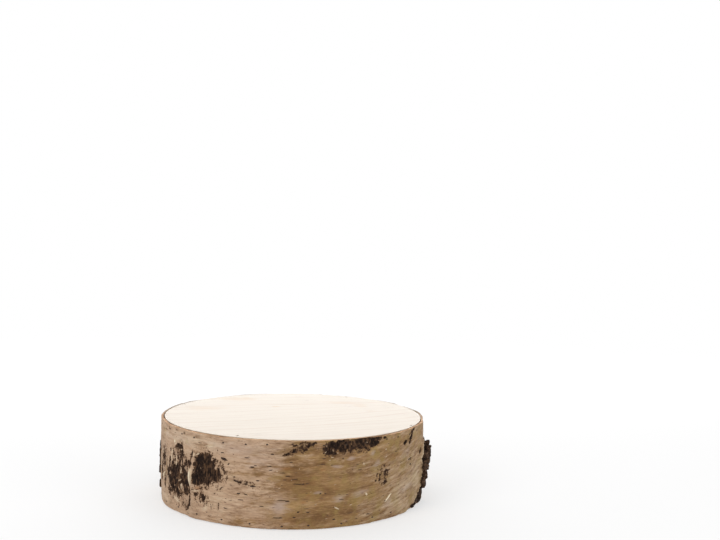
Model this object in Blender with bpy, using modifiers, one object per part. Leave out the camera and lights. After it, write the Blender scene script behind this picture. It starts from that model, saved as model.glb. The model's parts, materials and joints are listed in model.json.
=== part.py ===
"""Birch wood slice, made up as a low drum that imitates a slice sawn from a trunk.

Two round plywood boards are nailed to a bent wall hoop, and one long sheet of birch bark is wrapped
round all three, with its two ends meeting in an open seam on the right. The sizes are in metres, +Z is
up, and the origin is the centre of the bottom board's underside, which is the face that the drum
rests on. Angles are in degrees, anticlockwise from +X as seen from above, and the front is at -Y.
"""

import math

import bmesh
import bpy

MM = 0.001

# Driving dimensions of the drum.
BOARD_RADIUS = 146.0 * MM
BOARD_THICKNESS = 12.0 * MM
DRUM_HEIGHT = 90.0 * MM
GAP = 0.3 * MM
BOARD_SIDES = 128
BOARD_EDGE_ROUNDING = 0.5 * MM

# Wall hoop between the boards, which the nails are driven into.
HOOP_THICKNESS = 8.6 * MM
HOOP_SETBACK = 0.4 * MM

# Nails: the top ones are hand-placed, so each has its own angle and distance from the centre.
TOP_NAIL_PLACES = ((61.7, 141.3 * MM), (156.6, 143.0 * MM), (246.1, 139.4 * MM), (333.4, 143.6 * MM))
BOTTOM_NAIL_ANGLES = (18.0, 108.0, 198.0, 288.0)
BOTTOM_NAIL_DISTANCE = 141.5 * MM
NAIL_LENGTH = 30.0 * MM
NAIL_SHANK_RADIUS = 0.8 * MM
NAIL_HEAD_RADIUS = 1.25 * MM
NAIL_HEAD_HEIGHT = 1.3 * MM
NAIL_POINT_LENGTH = 2.0 * MM
NAIL_SUNK = 0.4 * MM
NAIL_SIDES = 12
NAIL_CLEARANCE = 0.35 * MM
NAIL_TIP_ROOM = 4.0

# Bark sheet: its rims, its plain thickness, and the grid that it is bent from.
BARK_BOTTOM = 0.6 * MM
BARK_TOP = 89.6 * MM
BARK_THICKNESS = 2.2 * MM
BARK_LEAST_THICKNESS = 1.2 * MM
BARK_MOST_THICKNESS = 9.0 * MM
BARK_COLUMNS = 216
BARK_ROWS = 14
RIM_WAVE = 0.35 * MM

# Seam: the sheet's back end starts at the first angle and its front end stops at the second.
SEAM_BACK_END = -12.3
SEAM_FRONT_END = -13.6

# How far the torn cork at the seam stands out, by height on the drum.
SEAM_REACH = (
    (0.0 * MM, 0.4 * MM),
    (20.0 * MM, 2.6 * MM),
    (34.0 * MM, 4.4 * MM),
    (50.0 * MM, 8.4 * MM),
    (60.0 * MM, 7.2 * MM),
    (70.0 * MM, 1.6 * MM),
    (90.0 * MM, 1.2 * MM),
)
FRONT_END_SPREAD = 9.5
FRONT_END_LIFT_SHARE = 0.42
BACK_END_SPREAD = 5.0
BACK_END_LIFT_SHARE = 0.50
BACK_CORK_ANGLE = 0.0
BACK_CORK_SPREAD = 9.0
BACK_CORK_SHARE = 0.55

# Places where the sheet stands clear of the boards: angle, half width, clearance added.
LIFTS = (
    (8.0, 8.0, 0.9 * MM),
    (33.0, 6.0, 1.3 * MM),
    (63.0, 4.5, 1.6 * MM),
    (152.0, 20.0, 1.5 * MM),
    (184.0, 18.0, 0.9 * MM),
    (207.0, 9.0, 1.0 * MM),
    (228.0, 6.0, 1.2 * MM),
)

# Relief of the outer face: angle, half width, height of its middle, half height, rise of the bark.
RELIEFS = (
    # Thick rough cork down the left side, with a broken ridge at its edge.
    (160.0, 26.0, 46.0 * MM, 80.0 * MM, 2.4 * MM),
    (150.0, 5.0, 58.0 * MM, 34.0 * MM, 2.2 * MM),
    (178.0, 9.0, 40.0 * MM, 52.0 * MM, 0.9 * MM),
    # Branch scar at the front left: a sunk dark oval inside its lips.
    (235.0, 11.5, 53.0 * MM, 27.0 * MM, 2.4 * MM),
    (235.5, 8.0, 54.0 * MM, 18.0 * MM, -3.0 * MM),
    (226.5, 3.5, 43.0 * MM, 14.0 * MM, 1.6 * MM),
    # Fissured bark beside the scar.
    (213.0, 3.5, 36.0 * MM, 22.0 * MM, 1.5 * MM),
    (219.0, 3.5, 34.0 * MM, 24.0 * MM, 1.8 * MM),
    (219.0, 3.5, 69.0 * MM, 9.0 * MM, 1.6 * MM),
    # Rough strip under the rim, where the outer skin has torn away.
    (293.0, 15.0, 82.0 * MM, 9.0 * MM, -0.8 * MM),
    # Small knot at the front right.
    (306.0, 5.5, 47.0 * MM, 12.0 * MM, 1.3 * MM),
    # Loose curl and chips at the back, under the rim.
    (94.5, 3.8, 74.0 * MM, 15.0 * MM, 6.2 * MM),
    (85.5, 3.0, 76.0 * MM, 11.0 * MM, 2.2 * MM),
    # Scars on the hidden side.
    (118.0, 9.0, 40.0 * MM, 20.0 * MM, 2.0 * MM),
    (118.0, 6.0, 40.0 * MM, 12.0 * MM, -2.4 * MM),
    (46.0, 7.0, 34.0 * MM, 16.0 * MM, 1.4 * MM),
    (228.0, 3.0, 80.0 * MM, 9.0 * MM, 2.4 * MM),
)

# Bites out of the lower rim at the front right: angle, half width, depth.
RIM_BITES = (
    (328.5, 3.6, 3.2 * MM),
    (337.0, 3.2, 2.0 * MM),
)

# Colours, linear.
PLYWOOD_COLOUR = (0.51, 0.35, 0.22, 1.0)
HOOP_COLOUR = (0.42, 0.29, 0.17, 1.0)
BARK_COLOUR = (0.36, 0.26, 0.17, 1.0)
STEEL_COLOUR = (0.10, 0.09, 0.08, 1.0)


def clear_scene():
    """Remove every object that the opened file holds."""
    for thing in list(bpy.data.objects):
        bpy.data.objects.remove(thing, do_unlink=True)


def new_collection(name):
    """Make a collection under the scene's own and return it."""
    collection = bpy.data.collections.new(name)
    bpy.context.scene.collection.children.link(collection)
    return collection


def make_material(name, colour, roughness, metallic=0.0):
    """Return a plain Principled material."""
    material = bpy.data.materials.new(name)
    material.use_nodes = True
    shader = material.node_tree.nodes["Principled BSDF"]
    shader.inputs["Base Color"].default_value = colour
    shader.inputs["Roughness"].default_value = roughness
    shader.inputs["Metallic"].default_value = metallic
    material.diffuse_color = colour
    return material


def adopt(thing, name, collection, material=None):
    """Name an object and its mesh, and move it to a collection with a material."""
    thing.name = name
    thing.data.name = name
    for owner in list(thing.users_collection):
        owner.objects.unlink(thing)
    collection.objects.link(thing)
    if material:
        thing.data.materials.append(material)
    return thing


def mark_as_cutter(thing):
    """Show a cutter as wires and keep it out of the model."""
    thing.hide_render = True
    thing.display_type = "WIRE"


def smooth_round(thing, angle=40.0):
    """Shade a round piece smooth, with its sharp edges kept."""
    thing.data.shade_smooth()
    thing.data.set_sharp_from_angle(angle=math.radians(angle))


def turned_mesh(name, profile, sides, closed_profile=False):
    """Return a mesh object whose profile of (radius, height) points is turned about Z.

    The profile runs down its outer side. A solid's profile starts and ends on the axis, and a
    ring's profile is closed.
    """
    mesh = bpy.data.meshes.new(name)
    shape = bmesh.new()
    points = [shape.verts.new((radius, 0.0, height)) for radius, height in profile]
    for first, second in zip(points, points[1:]):
        shape.edges.new((first, second))
    if closed_profile:
        shape.edges.new((points[-1], points[0]))
    shape.to_mesh(mesh)
    shape.free()
    thing = bpy.data.objects.new(name, mesh)
    bpy.context.scene.collection.objects.link(thing)
    screw = thing.modifiers.new("Turn", "SCREW")
    screw.steps = sides
    screw.render_steps = sides
    screw.use_merge_vertices = True
    screw.merge_threshold = 0.02 * MM
    screw.use_smooth_shade = False
    return thing


def spot(angle, distance, height):
    """Return the point at an angle and distance from the drum's axis."""
    turn = math.radians(angle)
    return (distance * math.cos(turn), distance * math.sin(turn), height)


def bell(offset, half_width):
    """Return a smooth hump: 1 at no offset, 0 from the half width outwards."""
    share = min(1.0, abs(offset) / half_width)
    return 0.5 + 0.5 * math.cos(math.pi * share)


def turn_between(angle, centre):
    """Return the signed turn from centre to angle, between -180 and 180 degrees."""
    return (angle - centre + 180.0) % 360.0 - 180.0


def step_between(value, outline):
    """Read a height-and-value outline at a height, straight between its points."""
    for (low, at_low), (high, at_high) in zip(outline, outline[1:]):
        if value <= high:
            share = max(0.0, (value - low) / (high - low))
            return at_low + share * (at_high - at_low)
    return outline[-1][1]


def end_ramp(turn_from_end, spread):
    """Return 1 at an end of the sheet, falling smoothly to 0 over the spread."""
    share = min(1.0, max(0.0, 1.0 - turn_from_end / spread))
    return share * share * (3.0 - 2.0 * share)


def seam_ramps(angle):
    """Return how near an angle is to the sheet's back end and front end, each from 0 to 1."""
    from_back_end = turn_between(angle, SEAM_BACK_END) % 360.0
    from_front_end = turn_between(SEAM_FRONT_END, angle) % 360.0
    return end_ramp(from_back_end, BACK_END_SPREAD), end_ramp(from_front_end, FRONT_END_SPREAD)


def bark_inner_radius(angle, height):
    """Return the radius of the sheet's inner face."""
    lift = sum(rise * bell(turn_between(angle, centre), width) for centre, width, rise in LIFTS)
    back, front = seam_ramps(angle)
    reach = step_between(height, SEAM_REACH)
    lift += reach * max(back * BACK_END_LIFT_SHARE, front * FRONT_END_LIFT_SHARE)
    return BOARD_RADIUS + GAP + lift


def bark_thickness(angle, height):
    """Return the sheet's thickness, with the relief of its outer face."""
    thickness = BARK_THICKNESS
    for centre, width, middle, half_height, rise in RELIEFS:
        across = bell(turn_between(angle, centre), width)
        thickness += rise * across * bell(height - middle, half_height)
    _, front = seam_ramps(angle)
    reach = step_between(height, SEAM_REACH)
    cork = bell(turn_between(angle, BACK_CORK_ANGLE), BACK_CORK_SPREAD)
    thickness += reach * ((1.0 - FRONT_END_LIFT_SHARE) * front + BACK_CORK_SHARE * cork)
    turn = math.radians(angle)
    thickness += 0.12 * MM * math.sin(9.0 * turn + 60.0 * height) * math.sin(5.0 * turn + 1.0)
    return min(BARK_MOST_THICKNESS, max(BARK_LEAST_THICKNESS, thickness))


def bark_rims(angle):
    """Return the heights of the sheet's lower and upper rim, which was cut by hand."""
    turn = math.radians(angle)
    wave = RIM_WAVE * math.sin(7.0 * turn + 0.6) * math.cos(3.0 * turn)
    bite = sum(depth * bell(turn_between(angle, centre), width) for centre, width, depth in RIM_BITES)
    return BARK_BOTTOM + 0.5 * abs(wave) + bite, BARK_TOP + wave


def make_bark_wrap(collection, material):
    """Bend one flat sheet round the boards and give it the thickness of bark outwards."""
    bpy.ops.mesh.primitive_grid_add(x_subdivisions=BARK_COLUMNS, y_subdivisions=BARK_ROWS, size=1.0)
    sheet = adopt(bpy.context.active_object, "bark_wrap", collection, material)
    thick = sheet.vertex_groups.new(name="thickness")
    wrap = 360.0 - (SEAM_BACK_END - SEAM_FRONT_END)
    for vertex in sheet.data.vertices:
        angle = SEAM_BACK_END + (vertex.co.x + 0.5) * wrap
        low, high = bark_rims(angle)
        height = low + (vertex.co.y + 0.5) * (high - low)
        vertex.co = spot(angle, bark_inner_radius(angle, height), height)
        thick.add([vertex.index], bark_thickness(angle, height) / BARK_MOST_THICKNESS, "REPLACE")
    solid = sheet.modifiers.new("Bark thickness", "SOLIDIFY")
    solid.thickness = BARK_MOST_THICKNESS
    solid.offset = 1.0
    solid.vertex_group = thick.name
    solid.thickness_vertex_group = 0.0
    smooth_round(sheet, 50.0)
    return sheet


def nail_profile(extra=0.0):
    """Return a nail's outline from head to point, or its hole's, wider and longer by extra."""
    top = NAIL_SUNK if extra else 0.0
    shank = NAIL_SHANK_RADIUS + extra
    head = NAIL_HEAD_RADIUS + extra
    under_head = -NAIL_HEAD_HEIGHT - extra
    tip = -NAIL_LENGTH - NAIL_TIP_ROOM * extra
    return (
        (0.0, top + extra),
        (head, top + extra),
        (head, under_head),
        (shank, under_head),
        (shank, tip + NAIL_POINT_LENGTH),
        (0.0, tip),
    )


def nail_places():
    """Yield each nail's name, its head's place, and whether it points up from below."""
    for number, (angle, distance) in enumerate(TOP_NAIL_PLACES, start=1):
        yield f"top_nail_{number}", spot(angle, distance, DRUM_HEIGHT - NAIL_SUNK), False
    for number, angle in enumerate(BOTTOM_NAIL_ANGLES, start=1):
        yield f"bottom_nail_{number}", spot(angle, BOTTOM_NAIL_DISTANCE, NAIL_SUNK), True


def make_nails(collection, cutters, material):
    """Make the eight nails, and a hole cutter round each."""
    for name, place, from_below in nail_places():
        nail = turned_mesh(name, nail_profile(), NAIL_SIDES)
        hole = turned_mesh(f"{name}_hole", nail_profile(NAIL_CLEARANCE), NAIL_SIDES)
        adopt(nail, name, collection, material)
        adopt(hole, f"{name}_hole", cutters)
        mark_as_cutter(hole)
        for thing in (nail, hole):
            thing.location = place
            thing.rotation_euler = (math.pi if from_below else 0.0, 0.0, 0.0)


def cut_nail_holes(thing, cutters):
    """Take the nail holes out of a board or the hoop."""
    cut = thing.modifiers.new("Nail holes", "BOOLEAN")
    cut.operation = "DIFFERENCE"
    cut.operand_type = "COLLECTION"
    cut.collection = cutters
    cut.solver = "EXACT"


def make_board(name, height, collection, cutters, material):
    """Make a round board whose underside is at the given height."""
    bpy.ops.mesh.primitive_cylinder_add(
        vertices=BOARD_SIDES,
        radius=BOARD_RADIUS,
        depth=BOARD_THICKNESS,
        location=(0.0, 0.0, height + BOARD_THICKNESS / 2.0),
    )
    board = adopt(bpy.context.active_object, name, collection, material)
    edge = board.modifiers.new("Sanded edge", "BEVEL")
    edge.width = BOARD_EDGE_ROUNDING
    edge.segments = 2
    edge.limit_method = "ANGLE"
    edge.angle_limit = math.radians(60.0)
    cut_nail_holes(board, cutters)
    smooth_round(board)
    return board


def make_hoop(collection, cutters, material):
    """Make the wall hoop between the two boards."""
    outer = BOARD_RADIUS - HOOP_SETBACK
    inner = outer - HOOP_THICKNESS
    low = BOARD_THICKNESS + GAP
    high = DRUM_HEIGHT - BOARD_THICKNESS - GAP
    profile = ((inner, high), (outer, high), (outer, low), (inner, low))
    hoop = turned_mesh("wall_hoop", profile, BOARD_SIDES, closed_profile=True)
    adopt(hoop, "wall_hoop", collection, material)
    cut_nail_holes(hoop, cutters)
    return hoop


def main():
    """Build the slice."""
    clear_scene()
    pieces = new_collection("birch_wood_slice")
    cutters = new_collection("nail_hole_cutters")
    plywood = make_material("plywood", PLYWOOD_COLOUR, 0.62)
    hoop_wood = make_material("hoop_wood", HOOP_COLOUR, 0.7)
    bark = make_material("bark", BARK_COLOUR, 0.8)
    steel = make_material("nail_steel", STEEL_COLOUR, 0.45, metallic=1.0)
    make_nails(pieces, cutters, steel)
    make_board("bottom_board", 0.0, pieces, cutters, plywood)
    make_board("top_board", DRUM_HEIGHT - BOARD_THICKNESS, pieces, cutters, plywood)
    make_hoop(pieces, cutters, hoop_wood)
    make_bark_wrap(pieces, bark)


main()
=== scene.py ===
"""Looks of the birch wood slice: its bark, boards, hoop, nails and brads, and the studio round it.

Lengths on the drum are in millimetres and angles in degrees, anticlockwise from +X as seen from
above, with the front of the drum at -Y. Meshes are written in metres, where the frame has them.
"""

from __future__ import annotations

import json
import logging
import math
from dataclasses import dataclass
from enum import Enum
from typing import TypeVar

import bmesh
import bpy
import numpy as np
from mathutils import Matrix, Vector

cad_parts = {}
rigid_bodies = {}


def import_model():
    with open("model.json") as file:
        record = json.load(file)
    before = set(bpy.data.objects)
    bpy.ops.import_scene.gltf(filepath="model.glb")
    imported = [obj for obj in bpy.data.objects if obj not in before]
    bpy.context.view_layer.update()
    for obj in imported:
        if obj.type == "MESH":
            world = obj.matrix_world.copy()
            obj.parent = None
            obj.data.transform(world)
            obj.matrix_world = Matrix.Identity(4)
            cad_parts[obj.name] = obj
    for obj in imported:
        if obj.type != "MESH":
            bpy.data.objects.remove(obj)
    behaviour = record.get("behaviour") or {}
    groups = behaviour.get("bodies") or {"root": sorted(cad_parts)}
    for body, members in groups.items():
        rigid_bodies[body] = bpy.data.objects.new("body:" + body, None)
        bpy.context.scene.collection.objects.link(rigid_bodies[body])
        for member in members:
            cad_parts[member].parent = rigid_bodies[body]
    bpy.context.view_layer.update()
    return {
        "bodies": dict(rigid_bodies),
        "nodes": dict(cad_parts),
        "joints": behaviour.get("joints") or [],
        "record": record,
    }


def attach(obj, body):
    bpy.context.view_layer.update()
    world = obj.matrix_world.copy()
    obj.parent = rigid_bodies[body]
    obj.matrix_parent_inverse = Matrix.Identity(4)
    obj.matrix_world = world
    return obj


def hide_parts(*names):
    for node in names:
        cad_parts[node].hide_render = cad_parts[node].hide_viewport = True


LOG = logging.getLogger("birch_slice")

MM = 0.001
BODY = "root"

# How tall the drum is, and how sharp a turn between two faces is seen as an edge.
DRUM_HEIGHT = 90.0
SHARP_ANGLE = 55.0

# The board's grain bows by this for each square millimetre, times a number from -10 to 10.
BOW_UNIT = 1.0e-4

# Small marks are scattered from the first height over the second one.
SCATTER_BOTTOM = 4.0
SCATTER_TALL = 82.0

# The bark's length is measured along a circle of this radius, so that marks keep their size.
ARC_RADIUS = 148.5

Array = np.ndarray
Colour = tuple[float, float, float, float]
Socket = bpy.types.NodeSocket
Row = TypeVar("Row")


def paint(red: int, green: int, blue: int) -> Colour:
    """Return a linear colour for a display colour of 0 to 255.

    Args:
        red: Red share.
        green: Green share.
        blue: Blue share.

    Returns:
        The colour as a shader socket takes it.
    """
    shares = [channel / 255.0 for channel in (red, green, blue)]
    linear = [s / 12.92 if s <= 0.04045 else ((s + 0.055) / 1.055) ** 2.4 for s in shares]
    return (linear[0], linear[1], linear[2], 1.0)


def smooth(share: Array) -> Array:
    """Return a share of 0 to 1 eased at both ends."""
    clipped = np.clip(share, 0.0, 1.0)
    return clipped * clipped * (3.0 - 2.0 * clipped)


def span(value: Array, low: float, high: float) -> Array:
    """Return how far a value lies from low to high, eased, from 0 to 1."""
    return smooth((value - low) / (high - low))


def bell(offset: Array, half_width: float) -> Array:
    """Return a smooth hump: 1 at no offset, 0 from the half width outwards."""
    return 0.5 + 0.5 * np.cos(np.pi * np.minimum(1.0, np.abs(offset) / half_width))


def turn_between(angle: Array, centre: float) -> Array:
    """Return the signed turn from centre to angle, between -180 and 180 degrees."""
    return (angle - centre + 180.0) % 360.0 - 180.0


def arc(angle: Array) -> Array:
    """Return the length along the bark, in millimetres, at an angle."""
    return np.radians(angle) * ARC_RADIUS


def rows_of(kind: type[Row], *rows: tuple) -> tuple[Row, ...]:
    """Return one thing of a kind for each row of its values."""
    return tuple(kind(*row) for row in rows)


class Noise:
    """Seeded noise on a lattice: smooth between its points and the same on every run."""

    SIZE = 256

    def __init__(self, seed: int) -> None:
        """Draw the lattice.

        Args:
            seed: Seed of the draw.
        """
        draw = np.random.default_rng(seed)
        self.table = draw.random((self.SIZE, self.SIZE))
        self.shift = 0.8 * (draw.random((self.SIZE, self.SIZE, 2)) - 0.5)

    def at(self, across: Array, up: Array) -> Array:
        """Return the noise, 0 to 1, at places measured in lattice steps.

        Args:
            across: Places across, in cells.
            up: Places up, in cells.

        Returns:
            The noise there, 0 to 1.
        """
        column = np.floor(across).astype(int)
        row = np.floor(up).astype(int)
        to_right = smooth(across - column)
        to_top = smooth(up - row)
        left, right = column % self.SIZE, (column + 1) % self.SIZE
        low, high = row % self.SIZE, (row + 1) % self.SIZE
        bottom = self.table[left, low] * (1 - to_right) + self.table[right, low] * to_right
        top = self.table[left, high] * (1 - to_right) + self.table[right, high] * to_right
        return bottom * (1 - to_top) + top * to_top

    def layered(self, across: Array, up: Array, layers: int = 3, gain: float = 0.55) -> Array:
        """Add up finer and finer noise.

        Args:
            across: Places along the bark, in lattice steps of the coarsest layer.
            up: Heights, in the same steps.
            layers: Number of layers, each twice as fine as the last.
            gain: Weight of a layer against the last one.

        Returns:
            Noise from 0 to 1 about a mean of one half.
        """
        total = np.zeros(np.broadcast(across, up).shape)
        weights = 0.0
        weight = 1.0
        for layer in range(layers):
            fine = 2.0**layer
            total = total + weight * self.at(across * fine + 17.3 * layer, up * fine + 9.1 * layer)
            weights += weight
            weight *= gain
        return total / weights

    def ridged(self, across: Array, up: Array, layers: int = 3) -> Array:
        """Return noise, 0 to 1, with sharp crests."""
        return 1.0 - np.abs(2.0 * self.layered(across, up, layers) - 1.0) * 1.6

    def plates(self, across: Array, up: Array) -> Array:
        """Split the surface into plates.

        Args:
            across: Places along the bark, in steps of about one plate.
            up: Heights, in the same steps.

        Returns:
            0 on the borders between plates, rising to about 1 inside them.
        """
        column = np.floor(across).astype(int)
        row = np.floor(up).astype(int)
        nearest = np.full(np.broadcast(across, up).shape, 9.0)
        second = nearest.copy()
        for step_across in (-1, 0, 1):
            for step_up in (-1, 0, 1):
                near_column, near_row = column + step_across, row + step_up
                shift = self.shift[near_column % self.SIZE, near_row % self.SIZE]
                off_across = across - (near_column + 0.5 + shift[..., 0])
                off_up = up - (near_row + 0.5 + shift[..., 1])
                distance = np.hypot(off_across, off_up)
                second = np.minimum(second, np.maximum(nearest, distance))
                nearest = np.minimum(nearest, distance)
        return second - nearest


class Kind(Enum):
    """What a patch does to the bark under it."""

    CORK = "cork"
    # Darker brown stains; the patch under the black strip at the rim is a painted shadow.
    SHADE = "stain_and_shadow"
    LAVENDER = "lavender"
    RUST = "rust"
    PALE = "pale"
    LICHEN = "lichen"
    BARE = "bare"


@dataclass(frozen=True)
class Patch:
    """An oval patch of the bark, with a ragged edge.

    Angle and height give its middle; wide and tall are half sizes along and up the bark; tilt
    lifts its right end; ragged and soft shape its edge; strength is its share at the middle.
    """

    angle: float
    height: float
    wide: float
    tall: float
    tilt: float = 0.0
    ragged: float = 0.9
    soft: float = 0.25
    strength: float = 1.0

    def cover(self, along: Array, height: Array, rough: Array) -> Array:
        """Return how far the patch covers places on the bark.

        Args:
            along: Lengths along the bark.
            height: Heights on the drum.
            rough: Noise about 0 that makes the edge ragged.

        Returns:
            Cover from 0 to 1, with one half on the patch's edge.
        """
        off_along = along - arc(self.angle)
        off_up = height - self.height
        lean = math.radians(self.tilt)
        across = (off_along * math.cos(lean) + off_up * math.sin(lean)) / self.wide
        up = (off_up * math.cos(lean) - off_along * math.sin(lean)) / self.tall
        inside = 1.0 - np.hypot(across, up) + self.ragged * rough
        return self.strength * np.clip(0.5 + inside / (3.2 * self.soft), 0.0, 1.0)


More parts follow.
